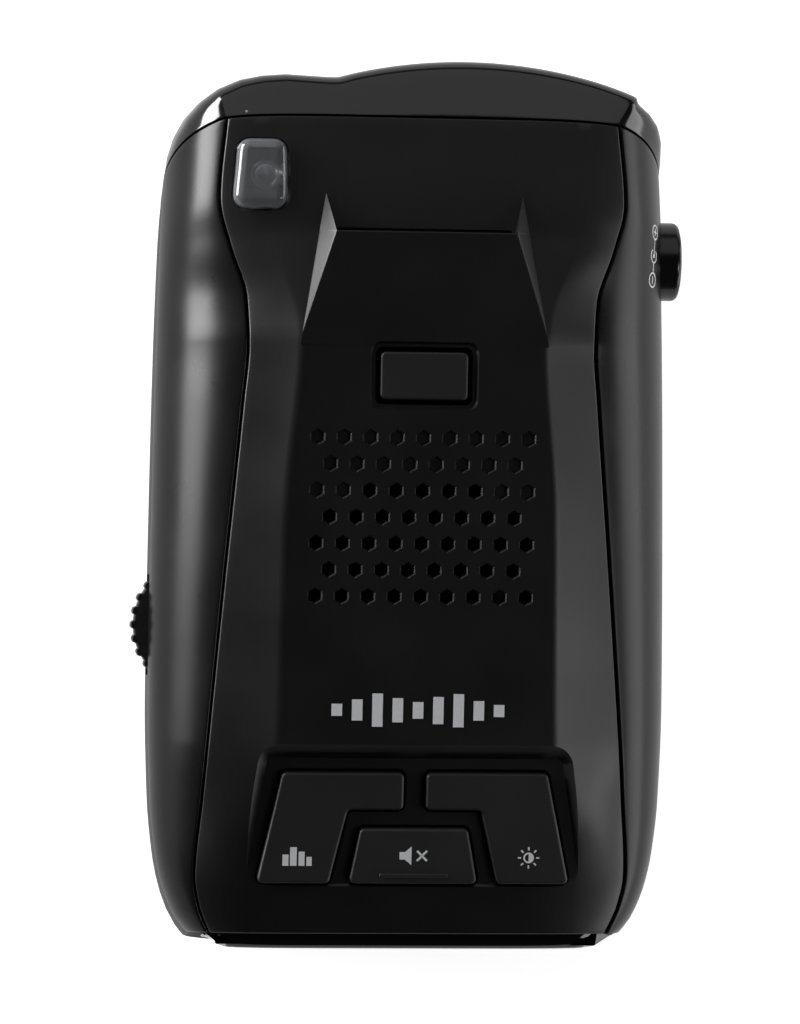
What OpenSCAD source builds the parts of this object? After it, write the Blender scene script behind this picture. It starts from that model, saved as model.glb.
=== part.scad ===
// Windshield radar detector: a two-tone moulded case around a horn antenna and a speaker.
// Frame: origin at the centre of the flat underside, +Z up, +Y to the road, +X to the right.

/* [Case] */
// Height of the line where the side panels meet the lower case
parting_z = 12; // [11:0.5:13]
// Wall thickness of the moulded case parts
wall = 2; // [1.6:0.1:2.2]
// Height of the flat deck above the underside, at mid length
deck_mid_z = 29; // [28.5:0.1:29.5]
// Forward rise of the deck in degrees
deck_tilt = 3.75; // [3:0.25:4.5]
// Radius between the sides and the underside
belly_r = 7; // [5:0.5:8]
// Open gap between neighbouring panels
seam_gap = 0.5; // [0.3:0.1:0.6]

/* [Bracket slot] */
// Width of the slot for the windshield bracket
slot_w = 20.4; // [18:0.2:22]
// Height of the slot
slot_h = 1.8; // [1.6:0.1:1.9]
// Depth of the slot from the step face
slot_depth = 13.2; // [10:0.2:13.4]

/* [Release button] */
// Width of the release button
button_w = 11.6; // [10:0.2:12]
// Length of the release button
button_l = 6.3; // [5.5:0.1:6.5]
// How far the release button goes down
button_travel = 1.5; // [1.3:0.1:1.5]

/* [Keys] */
// Height of the key tops over the floor of their recess
key_rise = 1.1; // [0.8:0.1:1.3]
// Gap around each key
key_gap = 0.3; // [0.2:0.05:0.4]
// Slope of the key recess in degrees
key_tilt = 6.2; // [5.5:0.1:6.5]

/* [Speaker grille] */
// Distance between neighbouring grille holes
grille_pitch = 3.5; // [3.2:0.1:3.6]
// Width of one grille hole across its corners
grille_hole = 1.9; // [1.5:0.1:2.1]
// Rows of grille holes
grille_rows = 7; // [5:2:7]
// Outer diameter of the speaker
speaker_d = 28; // [24:1:28]

/* [Volume wheel] */
// Outer diameter of the thumb wheel
wheel_d = 18; // [17:0.5:18.5]
// Thickness of the thumb wheel
wheel_t = 3; // [2.6:0.1:3.2]
// Teeth around the thumb wheel
wheel_teeth = 28; // [24:2:32]

/* [Power inlet] */
// Outer diameter of the power inlet's barrel
jack_d = 10.6; // [10:0.1:11]
// Bore that takes the plug
jack_bore = 5.6; // [5.5:0.1:6]
// How far the barrel stands out of the case side
jack_proud = 1.5; // [1:0.1:2]

/* [Hidden] */
$fn = 48;

// Plan and height curves, each a list of [y, value] along the case
girth_curve = [
    [-60, 26.2], [-57.6, 29.2], [-55, 31.2], [-50.3, 33.0], [-46.3, 33.8], [-39.5, 34.5], [-26, 34.9],
    [7.7, 34.6], [34.7, 34.0], [44, 33.5], [52, 32.4]
];
seam_curve = [
    [-57, 26.8], [-53.3, 28.3], [-49.3, 29.0], [-38.8, 28.2], [-12, 26.0], [14, 23.7], [20.8, 23.15],
    [27.4, 23.5], [34, 25.6], [40.6, 27.1], [51.5, 26.2]
];
crease_curve = [[-57, 23], [-47, 22.5], [-32, 18.6], [0, 18.0], [22.6, 16.3], [36, 20.5], [45, 22], [51.5, 21.5]];
drop_curve = [[-57, 3.0], [-28, 3.1], [0, 3.0], [22.6, 3.0], [36.2, 1.9], [45, 1.4], [51.5, 1.0]];

deck_front_y = 36.2;   // step face that holds the slot's mouth
hood_rear_y = 22.6;    // where the hood starts to stand over the base
deck_rear_y = -32;     // top edge of the key recess
top_front_y = 51.5;    // front edge of the top panel
top_front_z = 27;      // height of that edge
window_rake = 0.55;    // rearward run of the window's parting plane for each mm down
rear_rake = 0.168;     // forward run of the rear face for each mm up
rear_top_y = -56;      // rear edge of the top panel
rear_top_z = 21.5;     // height of that edge

base_step_z = 28.4;    // base surface at the step face
step_w = 24;           // width of the step face
fin_tip = [13.1, 41.3];
shoulder_start = 22;   // angle at which the shoulder leaves the seam

key_floor_y = -32.1;
key_floor_z = 24.8;
key_travel = 0.4;
key_clear = 0.3;       // play between a key's flange and the panel
key_flange = 0.6;
tray_t = 1.6;
stem_d = 3;
left_key_outline = [
    [-17.7, -35.2], [-1.5, -35.2], [-1.5, -40.2], [-8.9, -40.2], [-11.25, -50.1], [-20.9, -50.1]
];
centre_key_outline = [[-7.2, -42.7], [7.2, -42.7], [8.6, -50.1], [-8.6, -50.1]];
switch_places = [[-14.6, -42.5], [0, -46.4], [14.6, -42.5]];

button_y = 17.25;
button_gap = 0.35;
slot_floor_z = 28.2;
slot_block_z = 26.4;   // underside of the block around the slot
flange_z = 25.5;       // where the release button leaves its flange
latch_z = flange_z - button_travel - 1.6;  // top of the latch retainer
retainer_t = 1.6;
retainer_screw_at = [[-12.4, 13.2], [12.4, 13.2], [-12.4, 32], [12.4, 32]];
hook_y = 25.2;
hook_w = 5;

speaker_y = -1.4;
board_z = 4.9;
board_t = 1.6;
board_top = board_z + board_t;
wheel_at = [-28.2, -16.3];
wheel_z = 8.2;
jack_y = 33.7;
jack_z = 12;
jack_end_x = 34 + jack_proud + 0.9;
lens_at = [-21.4, 44.1];
lens_size = [8, 9.5];
horn_x = 4;
plate_y = -20;
plate_size = [30, 22];
// Case screws as [x, y, top of the post that takes them]
case_screw_at = [[-20, 28, 26.2], [20, 28, 26.2], [-20, -29, 25], [20, -29, 25]];
board_screw_at = [[-27, 12], [27, 12], [-27, -45], [27, -45]];

// ---------- curves ----------

// Smooth curve through [y, value] points that never overshoots them
function segment(y, t, i = 0) = (i >= len(t) - 2 || y < t[i + 1][0]) ? i : segment(y, t, i + 1);
function rise(t, i) = (t[i + 1][1] - t[i][1]) / (t[i + 1][0] - t[i][0]);
function tangent(t, i) =
    i == 0 ? rise(t, 0)
    : i == len(t) - 1 ? rise(t, i - 1)
    : rise(t, i - 1) * rise(t, i) <= 0 ? 0
    : 2 * rise(t, i - 1) * rise(t, i) / (rise(t, i - 1) + rise(t, i));
function curve(y, t) =
    let (i = segment(y, t), h = t[i + 1][0] - t[i][0], u = max(0, min(1, (y - t[i][0]) / h)))
    (1 + 2 * u) * pow(1 - u, 2) * t[i][1] + u * pow(1 - u, 2) * h * tangent(t, i)
    + u * u * (3 - 2 * u) * t[i + 1][1] + u * u * (u - 1) * h * tangent(t, i + 1);
function ramp(y, from, to) = max(0, min(1, (y - from) / (to - from)));

// ---------- outer surface ----------

function deck_z(y) = deck_mid_z + y * tan(deck_tilt);

// Height of the case along its centre line, under the hood's base in front
function centre_z(y) =
    y < deck_rear_y
    ? deck_z(deck_rear_y) - 0.1405 * (deck_rear_y - y) - 0.00352 * pow(deck_rear_y - y, 2)
    : y <= hood_rear_y ? deck_z(y)
    : y <= deck_front_y
    ? deck_z(hood_rear_y) + (base_step_z - deck_z(hood_rear_y)) * ramp(y, hood_rear_y, deck_front_y)
    : base_step_z + (top_front_z - base_step_z) * ramp(y, deck_front_y, top_front_y);

// How soft the section is: 0 has a crease along the deck, 1 is rounded
function softness(y) = max(ramp(y, hood_rear_y, deck_front_y), ramp(-y, -deck_rear_y, 44));

// Height of the top panel at any place inside the seam
function top_z(x, y) =
    let (
        t = abs(x) / curve(y, seam_curve),
        c = curve(y, crease_curve) / curve(y, seam_curve),
        creased = t <= c ? 0 : pow((t - c) / (1 - c), 0.92),
        soft = softness(y)
    )
    centre_z(y) - curve(y, drop_curve) * ((1 - soft) * creased + soft * pow(t, 6));

function seam_z(y) = centre_z(y) - curve(y, drop_curve);

// The planes that the panels' cross sections lie in lean with the two ends
function rake(y) = window_rake * pow(ramp(y, 24, top_front_y), 1.5) + rear_rake * ramp(-y, 36, 56);
function datum(y) = y > 0 ? top_front_z : rear_top_z;
function on_plane(y, p) = [p[0], y + rake(y) * (p[1] - datum(y)), p[1]];

// Right half of one cross section, as [x, z] points, cut in by t for the inner face
crease_steps = [0, 0.5, 1];
slope_steps = [0.35, 0.7, 1];
shoulder_steps = 6;
belly_steps = 5;
function top_half(y, t) =
    let (w = curve(y, crease_curve), s = curve(y, seam_curve) - seam_gap / 2)
    concat(
        [for (k = crease_steps) [w * k, top_z(w * k, y) - t]],
        [for (k = slope_steps) [w + (s - w) * k, top_z(w + (s - w) * k, y) - t]]
    );
function shoulder(y, t) =
    let (
        s = curve(y, seam_curve) + seam_gap / 2,
        low_y = y + rake(y) * (parting_z - datum(y)),
        g = curve(low_y, girth_curve) - t,
        z0 = parting_z + 0.1,
        h = seam_z(y) - t * 1.1 - z0,
        a0 = shoulder_start
    )
    [for (i = [0:shoulder_steps])
        let (a = a0 + (90 - a0) * i / shoulder_steps)
        [s + (g - s) * (sin(a) - sin(a0)) / (1 - sin(a0)), z0 + h * cos(a) / cos(a0)]];
function belly(y, t) =
    let (
        low_y = y + rake(y) * (parting_z - datum(y)),
        g = curve(low_y, girth_curve) - t,
        r = belly_r - t
    )
    concat(
        [[g, parting_z]],
        [for (i = [0:belly_steps]) let (b = 90 * i / belly_steps) [g - r * (1 - cos(b)), t + r * (1 - sin(b))]]
    );
function flip_x(pts) = [for (i = [len(pts) - 1:-1:0]) [-pts[i][0], pts[i][1]]];
function top_row(y, t) = let (h = top_half(y, t)) concat(flip_x([for (i = [1:len(h) - 1]) h[i]]), h);
function belly_row(y, t) = let (h = belly(y, t)) concat(h, flip_x(h));
function placed(y, row) = [for (p = row) on_plane(y, p)];

stations = [
    rear_top_y, -54.6, -52.5, -49.5, -45.5, -41, -36.5, deck_rear_y, -25, -12, 0, 12, 18, hood_rear_y, 25, 28,
    31, deck_front_y - 2, deck_front_y, 39, 43, 47, top_front_y
];

// ---------- skins ----------

function flat(rows) = [for (r = rows) for (p = r) p];
function quad(a, b, c, d, out) = out ? [a, d, c, b] : [a, b, c, d];
function grid(n, m, base, out) =
    [for (r = [0:n - 2]) for (c = [0:m - 2])
        let (a = base + r * m + c) quad(a, a + 1, a + m + 1, a + m, out)];

// A sheet between two grids of points: rows run forward, columns run clockwise seen from the rear
module sheet(outer, inner) {
    n = len(outer);
    m = len(outer[0]);
    k = n * m;
    rear = [for (c = [0:m - 2]) [c, c + 1, k + c + 1, k + c]];
    front = [for (c = [0:m - 2]) let (a = (n - 1) * m + c) [a + 1, a, k + a, k + a + 1]];
    start = [for (r = [0:n - 2]) let (a = r * m) [a + m, a, k + a, k + a + m]];
    end = [for (r = [0:n - 2]) let (a = r * m + m - 1) [a, a + m, k + a + m, k + a]];
    polyhedron(
        concat(flat(outer), flat(inner)),
        concat(grid(n, m, 0, true), grid(n, m, k, false), rear, front, start, end)
    );
}

// A cup made of closed rings: the first outer and inner rings are its rim, the last ones are capped
module cup(outer, inner) {
    n = len(outer);
    m = len(outer[0]);
    k = n * m;
    function ring_quads(base, out) =
        [for (r = [0:n - 2]) for (c = [0:m - 1])
            let (a = base + r * m + c, b = base + r * m + (c + 1) % m) quad(a, b, b + m, a + m, out)];
    rim = [for (c = [0:m - 1]) let (d = (c + 1) % m) [c, d, k + d, k + c]];
    cap = [for (c = [m - 1:-1:0]) (n - 1) * m + c];
    inner_cap = [for (c = [0:m - 1]) k + (n - 1) * m + c];
    polyhedron(
        concat(flat(outer), flat(inner)),
        concat(ring_quads(0, true), ring_quads(k, false), rim, [cap], [inner_cap])
    );
}

// The convex solid around a few points
module around(points) {
    hull() polyhedron(points, [[for (i = [0:len(points) - 1]) i]]);
}

module rounded(size, r) {
    hull() {
        for (x = [-1, 1]) {
            for (y = [-1, 1]) {
                translate([x * (size[0] / 2 - r), y * (size[1] / 2 - r)]) circle(r, $fn = 24);
            }
        }
    }
}

// ---------- frames of reference ----------

module on_deck(y) {
    translate([0, y, deck_z(y)]) rotate([deck_tilt, 0, 0]) children();
}

// Plane of the key recess's floor, with plan coordinates kept
module on_key_floor() {
    translate([0, key_floor_y, key_floor_z]) rotate([key_tilt, 0, 0]) translate([0, -key_floor_y, 0]) children();
}

module screw(length, d, head_d, head_t) {
    cylinder(d = d, h = length);
    translate([0, 0, -head_t]) cylinder(d = head_d, h = head_t);
}

// ---------- case ----------

module hood() {
    a = [16.3, hood_rear_y, deck_z(hood_rear_y)];
    b = [step_w / 2, deck_front_y, deck_z(deck_front_y)];
    f = [14, deck_front_y, base_step_z];
    c = [fin_tip[0], fin_tip[1], centre_z(fin_tip[1])];
    sunk = [0, 0, -1.2];
    mirrored = function (p) [-p[0], p[1], p[2]];
    around([a, b, f, mirrored(a), mirrored(b), mirrored(f),
        a + sunk, f + sunk, mirrored(a) + sunk, mirrored(f) + sunk]);
    for (side = [0, 1]) {
        mirror([side, 0, 0]) {
            around([b, f, c, b + [0, -0.5, 0], f + [0, -0.5, 0], [b[0], b[1], f[2]] + sunk, f + sunk, c + sunk]);
        }
    }
}

module grille_cuts() {
    half = (grille_rows - 1) / 2;
    for (r = [0:grille_rows - 1]) {
        count = r % 2 == 0 ? 9 : 8;
        for (i = [0:count - 1]) {
            x = (i - (count - 1) / 2) * grille_pitch;
            blind = r < 2 || (r == 2 && (i < 2 || i > count - 3));
            translate([x, (half - r) * grille_pitch, blind ? -0.9 : -4]) {
                rotate(30) cylinder(d = grille_hole, h = blind ? 3 : 6, $fn = 6);
            }
        }
    }
}

module key_recess() {
    linear_extrude(6) polygon([[-20, -32.1], [20, -32.1], [23, -50.3], [-23, -50.3]]);
}

module key_shape(outline, grow) {
    offset(delta = grow) offset(r = 0.7, $fn = 24) offset(delta = -0.7) polygon(outline);
}

module right_key_shape(grow) {
    mirror([1, 0]) key_shape(left_key_outline, grow);
}

// A post that hangs from the top panel, with a blind pilot hole for a screw
module post(x, y, d, bore, from, to) {
    translate([x, y, from]) {
        difference() {
            cylinder(d = d, h = to - from);
            translate([0, 0, -1]) cylinder(d = bore, h = to - from - 1);
        }
    }
}

module top_panel() {
    color([0.09, 0.09, 0.095]) {
        difference() {
            union() {
                sheet(
                    [for (y = stations) placed(y, top_row(y, 0))],
                    [for (y = stations) placed(y, top_row(y, wall))]
                );
                hood();
                translate([-slot_w / 2 - 1.6, 21.7, slot_block_z]) cube([slot_w + 3.2, 14.3, 29.4 - slot_block_z]);
                on_key_floor() translate([-21, -49, -tray_t]) cube([42, 17.5, tray_t + 0.4]);
            }
            on_key_floor() {
                key_recess();
                translate([-22.5, -51.4, -6]) cube([45, 19, 6 - tray_t]);
                for (s = [0, 1]) {
                    mirror([s, 0, 0]) {
                        translate([0, 0, -4]) linear_extrude(6) key_shape(left_key_outline, key_gap);
                    }
                }
                translate([0, 0, -4]) linear_extrude(6) key_shape(centre_key_outline, key_gap);
            }
            translate([-slot_w / 2, deck_front_y - slot_depth, slot_floor_z]) {
                cube([slot_w, slot_depth + 6, slot_h]);
            }
            translate([-hook_w / 2 - 0.3, hook_y - 0.4, slot_floor_z - 4]) cube([hook_w + 0.6, 4, 4.5]);
            translate([0, button_y, deck_z(button_y) - 5]) {
                linear_extrude(8) rounded([button_w + 2 * button_gap, button_l + 2 * button_gap], 0.9);
            }
            translate([0, button_y, deck_z(button_y) - 0.5]) linear_extrude(3) rounded([13.9, 8.3], 1.2);
            on_deck(speaker_y) grille_cuts();
            translate([lens_at[0], lens_at[1], 20]) linear_extrude(12) rounded(lens_size + [0.5, 0.5], 1.8);
        }
        for (p = case_screw_at) {
            post(p[0], p[1], 6, 2.2, parting_z + 0.2, p[2]);
        }
        for (p = retainer_screw_at) {
            post(p[0], p[1], 3.6, 1.4, latch_z, centre_z(p[1]) - wall + 0.5);
        }
    }
}

module side_panel() {
    rows = stations;
    sheet([for (y = rows) placed(y, shoulder(y, 0))], [for (y = rows) placed(y, shoulder(y, wall))]);
    for (y = [-38, -5, 14]) {
        seam = curve(y + 4, seam_curve);
        translate([seam - 2, y, seam_z(y) - wall - 2.6]) cube([5, 8, 1.6]);
        translate([curve(y, girth_curve) - wall - 1.7, y, parting_z - 4]) cube([1.4, 8, 8]);
    }
}

module right_side_panel() {
    color([0.2, 0.2, 0.205]) {
        difference() {
            side_panel();
            jack_hole();
        }
    }
}

module left_side_panel() {
    color([0.2, 0.2, 0.205]) mirror([1, 0, 0]) side_panel();
}

module jack_hole() {
    translate([20, jack_y, jack_z]) rotate([0, 90, 0]) cylinder(d = jack_d + 0.4, h = 30);
}

// Outline of the inside of the case at its rear end, with a margin all round
function rear_ring(margin) =
    let (
        top = top_row(rear_top_y, wall + margin),
        side = shoulder(rear_top_y, wall + margin),
        low = belly(rear_top_y, wall + margin)
    )
    concat(
        [for (p = top) if (abs(p[0]) < side[0][0] - margin) p],
        [for (i = [1:len(side) - 1]) side[i]], [for (i = [1:len(low) - 1]) low[i]],
        flip_x([for (i = [1:len(low) - 1]) low[i]]), flip_x([for (i = [1:len(side) - 1]) side[i]])
    );

// A plate across the rear end, from one depth behind its face to another
module rear_plate(margin, from, to) {
    ring = rear_ring(margin);
    m = len(ring);
    pts = [for (d = [from, to]) for (p = ring) [p[0], rear_top_y + d + rear_rake * (p[1] - rear_top_z), p[1]]];
    polyhedron(
        pts,
        concat(
            [[for (i = [0:m - 1]) i]], [[for (i = [m - 1:-1:0]) m + i]],
            [for (i = [0:m - 1]) let (j = (i + 1) % m) [i, m + i, m + j, j]]
        )
    );
}

module lower_case() {
    color([0.13, 0.13, 0.135]) {
        difference() {
            union() {
                sheet(
                    [for (y = stations) placed(y, belly_row(y, 0))],
                    [for (y = stations) placed(y, belly_row(y, wall))]
                );
                difference() {
                    rear_plate(0.2, 2, 3.6);
                    translate([-21, -70, 5.2]) cube([42, 30, 11.6]);
                }
                for (x = [-24, 24]) {
                    translate([x - 2, -56.6, wall - 0.4]) cube([4, 3, 4]);
                }
                for (p = case_screw_at) {
                    translate([p[0], p[1], 0.8]) cylinder(d = 7.6, h = parting_z - 0.8);
                }
                for (p = board_screw_at) {
                    translate([p[0], p[1], 1]) cylinder(d = 5, h = board_z - 1);
                }
            }
            for (p = case_screw_at) {
                translate([p[0], p[1], -1]) cylinder(d = 5.6, h = 4.6);
                translate([p[0], p[1], -1]) cylinder(d = 2.9, h = 20);
            }
            for (p = board_screw_at) {
                translate([p[0], p[1], 2]) cylinder(d = 1.8, h = 6);
            }
            translate([wheel_at[0], wheel_at[1], wheel_z - 0.5]) cylinder(d = wheel_d + 1, h = 8);
            jack_hole();
            translate([0, plate_y, -1]) linear_extrude(1.3) rounded(plate_size + [0.4, 0.4], 1.5);
        }
    }
}

// Rings of the front window: [y at the top edge, y at the girth, left, right, top z, underside z]
window_rings = [
    [51.9, 43.65, 33.2, 33.3, 26.95, 0],
    [53.2, 47.5, 32.9, 33.7, 26.7, 0],
    [54.6, 51.0, 31.5, 33.0, 26.1, 0.4],
    [55.6, 53.8, 28.9, 31.0, 25.2, 1.1],
    [56.3, 55.8, 26.0, 28.4, 24.1, 1.9],
    [56.8, 57.0, 21.8, 25.6, 22.9, 2.8],
    [57.4, 57.6, 11.2, 23.4, 22.4, 3.3],
    [58.5, 58.7, 6.6, 19.2, 21.6, 3.9],
    [59.3, 59.5, 0.4, 13.4, 20.4, 4.8],
    [59.6, 59.8, -4.2, 8.6, 19.0, 6.2]
];
function window_section(g, t) =
    let (
        y0 = g[0], y1 = g[1], xl = g[2] - t, xr = g[3] - t, zt = g[4] - t, zb = g[5] + t,
        zp = parting_z,
        seam = function (x) min(curve(top_front_y, seam_curve), 0.8 * x),
        half = function (x) concat(
            [[0.5 * seam(x), zt], [seam(x), zt - 1.0]],
            [for (i = [0:shoulder_steps])
                let (a = shoulder_start + (90 - shoulder_start) * i / shoulder_steps, s0 = sin(shoulder_start))
                [seam(x) + 0.3 + (x - seam(x) - 0.3) * (sin(a) - s0) / (1 - s0),
                    zp + (zt - 1.1 - zp) * cos(a) / cos(shoulder_start)]],
            [for (i = [1:belly_steps])
                let (b = 90 * i / belly_steps, r = max(0.5, min(belly_r - t, x / 2)))
                [x - r * (1 - cos(b)), zb + (zp - zb) * 0.55 * (1 - sin(b))]]
        ),
        at = function (x, z) [x, y0 + (y1 - y0) * (g[4] - z) / (g[4] - zp), z],
        right = half((xl + xr) / 2),
        mid = (xr - xl) / 2
    )
    concat(
        [for (p = right) at(mid + p[0], p[1])],
        [for (i = [len(right) - 1:-1:0]) at(mid - right[i][0], right[i][1])]
    );

module front_window() {
    color([0.16, 0.16, 0.17]) {
        cup(
            [for (g = window_rings) window_section(g, 0)],
            [for (i = [0:len(window_rings) - 1])
                let (g = window_rings[i])
                window_section([g[0] - (i == 0 ? 0 : wall), g[1] - (i == 0 ? 0 : wall), g[2], g[3], g[4], g[5]], wall)]
        );
    }
}

module display_window() {
    color([0.05, 0.05, 0.055]) rear_plate(0.25, 0, 1.7);
}

module rear_laser_lens() {
    color([0.78, 0.8, 0.82, 0.6]) translate([lens_at[0], lens_at[1], 0]) {
        translate([0, 0, 23]) linear_extrude(0.9) rounded(lens_size + [1.2, 2], 2);
        translate([0, 0, 23.8]) linear_extrude(4.2) rounded(lens_size, 1.6);
        hull() {
            translate([0, 0, 27.7]) linear_extrude(0.1) rounded(lens_size - [0.3, 0.3], 1.5);
            translate([0, 0, 28.8]) linear_extrude(0.1) rounded(lens_size - [1.8, 1.8], 1.4);
        }
    }
}

// ---------- keys ----------

module key(outline, place) {
    on_key_floor() {
        translate([0, 0, -tray_t - key_clear - 0.1]) {
            linear_extrude(tray_t + key_clear + 0.1 + key_rise) key_shape(outline, 0);
        }
        translate([0, 0, -tray_t - key_clear - 0.9]) linear_extrude(0.9) key_shape(outline, key_flange);
        translate([place[0], place[1], -tray_t - key_clear - 2]) cylinder(d = 4, h = 1.2);
    }
}

module left_key() {
    color([0.15, 0.15, 0.155]) key(left_key_outline, switch_places[0]);
}

module centre_key() {
    color([0.15, 0.15, 0.155]) {
        key(centre_key_outline, switch_places[1]);
        on_key_floor() translate([-4.6, -49.2, key_rise - 0.2]) cube([9.2, 0.5, 0.5]);
    }
}

module right_key() {
    color([0.15, 0.15, 0.155]) mirror([1, 0, 0]) key(left_key_outline, switch_places[0]);
}

stem_top = -tray_t - key_clear - 2;
module switch_stem(p) {
    color([0.7, 0.68, 0.6]) on_key_floor() translate([p[0], p[1], stem_top - 1.6]) cylinder(d = stem_d, h = 1.6);
}
module left_switch_stem() {
    switch_stem(switch_places[0]);
}
module centre_switch_stem() {
    switch_stem(switch_places[1]);
}
module right_switch_stem() {
    switch_stem(switch_places[2]);
}

switch_h = 3;
switch_top = stem_top - key_travel - 0.3;
module key_switch_housings() {
    color([0.25, 0.25, 0.27]) on_key_floor() {
        for (p = switch_places) {
            translate([p[0], p[1], switch_top - switch_h]) {
                difference() {
                    translate([-3, -3, 0]) cube([6, 6, switch_h]);
                    translate([0, 0, switch_h - 1.6]) cylinder(d = stem_d + 0.2, h = 3);
                }
            }
        }
    }
}

module key_board() {
    color([0.1, 0.35, 0.18]) on_key_floor() {
        translate([-22, -50, switch_top - switch_h - board_t]) cube([44, 15.5, board_t]);
    }
}

// ---------- bracket latch ----------

button_top = deck_z(button_y);
module release_button() {
    color([0.12, 0.12, 0.125]) {
        translate([0, button_y, flange_z]) {
            linear_extrude(button_top - flange_z) rounded([button_w, button_l], 0.7);
        }
        translate([-7, button_y - 3.9, flange_z - 0.8]) cube([14, 7.8, 1.4]);
        translate([-hook_w / 2, button_y, flange_z - 0.8]) cube([hook_w, hook_y - button_y + 3, 1.4]);
        translate([0, hook_y, 0]) rotate([90, 0, 90]) {
            translate([0, 0, -hook_w / 2]) linear_extrude(hook_w) {
                polygon([[0, flange_z - 0.2], [3, flange_z - 0.2], [3, slot_floor_z], [0.6, 29.5], [0, 29.5]]);
            }
        }
    }
}

spring_d = 5;
module release_spring() {
    color([0.75, 0.75, 0.77]) translate([0, button_y, latch_z]) {
        difference() {
            cylinder(d = spring_d, h = flange_z - 0.8 - latch_z);
            translate([0, 0, -1]) cylinder(d = spring_d - 1.2, h = 8);
        }
    }
}

module latch_retainer() {
    color([0.3, 0.3, 0.32]) {
        difference() {
            translate([-15, 10.8, latch_z - retainer_t]) cube([30, 23.6, retainer_t]);
            for (p = retainer_screw_at) {
                translate([p[0], p[1], 10]) cylinder(d = 1.9, h = 20);
            }
            on_deck(speaker_y) translate([0, 0, -20]) cylinder(d = speaker_d + 1, h = 18);
        }
    }
}

module retainer_screws() {
    color([0.7, 0.7, 0.72]) {
        for (p = retainer_screw_at) {
            translate([p[0], p[1], latch_z - retainer_t]) screw(4, 1.4, 3, 0.8);
        }
    }
}

// ---------- volume control ----------

module volume_wheel() {
    color([0.1, 0.1, 0.1]) translate([wheel_at[0], wheel_at[1], wheel_z]) {
        difference() {
            cylinder(d = wheel_d - 0.9, h = wheel_t);
            translate([0, 0, -1]) cylinder(d = 3, h = wheel_t + 2);
        }
        for (i = [0:wheel_teeth - 1]) {
            rotate(i * 360 / wheel_teeth) {
                translate([wheel_d / 2 - 0.75, -0.55, 0]) cube([0.75, 1.1, wheel_t]);
            }
        }
    }
}

module volume_shaft() {
    color([0.8, 0.8, 0.8]) translate([wheel_at[0], wheel_at[1], board_top + 0.3]) {
        cylinder(d = 3, h = wheel_z + wheel_t - board_top - 0.3);
    }
}

module volume_pot_body() {
    color([0.45, 0.4, 0.3]) translate([wheel_at[0], wheel_at[1], board_top]) {
        difference() {
            cylinder(d = 9, h = 1.3);
            translate([0, 0, -1]) cylinder(d = 3.1, h = 4);
        }
    }
}

// ---------- power inlet ----------

module power_inlet() {
    color([0.1, 0.1, 0.1]) {
        difference() {
            union() {
                translate([24.6, jack_y - 5, board_top]) cube([6.4, 10, 10]);
                translate([28, jack_y, jack_z]) rotate([0, 90, 0]) cylinder(d = jack_d, h = jack_end_x - 28);
            }
            translate([27, jack_y, jack_z]) rotate([0, 90, 0]) cylinder(d = jack_bore, h = 12);
        }
    }
}

module power_inlet_pin() {
    color([0.75, 0.72, 0.6]) translate([27, jack_y, jack_z]) rotate([0, 90, 0]) cylinder(d = 2, h = 8.6);
}

// ---------- electronics ----------

module main_board() {
    color([0.1, 0.35, 0.18]) {
        difference() {
            union() {
                translate([-30.5, -46, board_z]) cube([61, 83, board_t]);
                translate([-26, -53.8, board_z]) cube([52, 9, board_t]);
            }
            for (p = case_screw_at) {
                translate([p[0], p[1], 0]) cylinder(d = 8.4, h = 20);
            }
            for (p = board_screw_at) {
                translate([p[0], p[1], 0]) cylinder(d = 2.4, h = 20);
            }
        }
    }
}

// Pyramid horn between a mouth behind the window and a throat at the shield
horn_mouth = [30, 13];
horn_throat = [13, 7];
horn_y = [20, 46];
horn_mid_z = board_top + 7.3;
module horn_shell(grow, run) {
    hull() {
        translate([horn_x - horn_throat[0] / 2 - grow, horn_y[0] - run, horn_mid_z - horn_throat[1] / 2 - grow]) {
            cube([horn_throat[0] + 2 * grow, 0.1, horn_throat[1] + 2 * grow]);
        }
        translate([horn_x - horn_mouth[0] / 2 - grow, horn_y[1] + run, horn_mid_z - horn_mouth[1] / 2 - grow]) {
            cube([horn_mouth[0] + 2 * grow, 0.1, horn_mouth[1] + 2 * grow]);
        }
    }
}
module horn_antenna() {
    color([0.72, 0.72, 0.7]) {
        difference() {
            horn_shell(1, 0);
            horn_shell(0, 0.2);
        }
        translate([horn_x - 3, horn_y[0] + 2, board_top]) cube([6, 6, 2.6]);
    }
}

module shield_can() {
    color([0.78, 0.78, 0.76]) {
        difference() {
            translate([-12, -18, board_top]) cube([32, 38, 10]);
            translate([-11.6, -17.6, board_top - 1]) cube([31.2, 37.2, 10.6]);
            translate([horn_x - 5, 19, horn_mid_z - 2]) cube([10, 2, 4]);
        }
    }
}

module laser_board() {
    color([0.1, 0.35, 0.18]) translate([-27, 34, board_top]) cube([11, 1.2, 13.5]);
}
module front_laser_diode() {
    color([0.12, 0.12, 0.2]) {
        translate([-24, 35.2, 11]) cube([6, 4, 6]);
        translate([-21, 39.2, 14]) rotate([-90, 0, 0]) cylinder(d = 5, h = 1.6);
    }
}
module rear_laser_diode() {
    color([0.12, 0.12, 0.2]) {
        translate([-24, 35.2, 18]) cube([6, 12, 1.6]);
        translate([-21.4, 44.1, 19.6]) cylinder(d = 5, h = 3.2);
    }
}

// ---------- speaker ----------

module speaker_gasket() {
    color([0.2, 0.2, 0.2]) on_deck(speaker_y) translate([0, 0, -wall - 1]) {
        difference() {
            cylinder(d = speaker_d, h = 1);
            translate([0, 0, -1]) cylinder(d = speaker_d - 3, h = 3);
        }
    }
}

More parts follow.
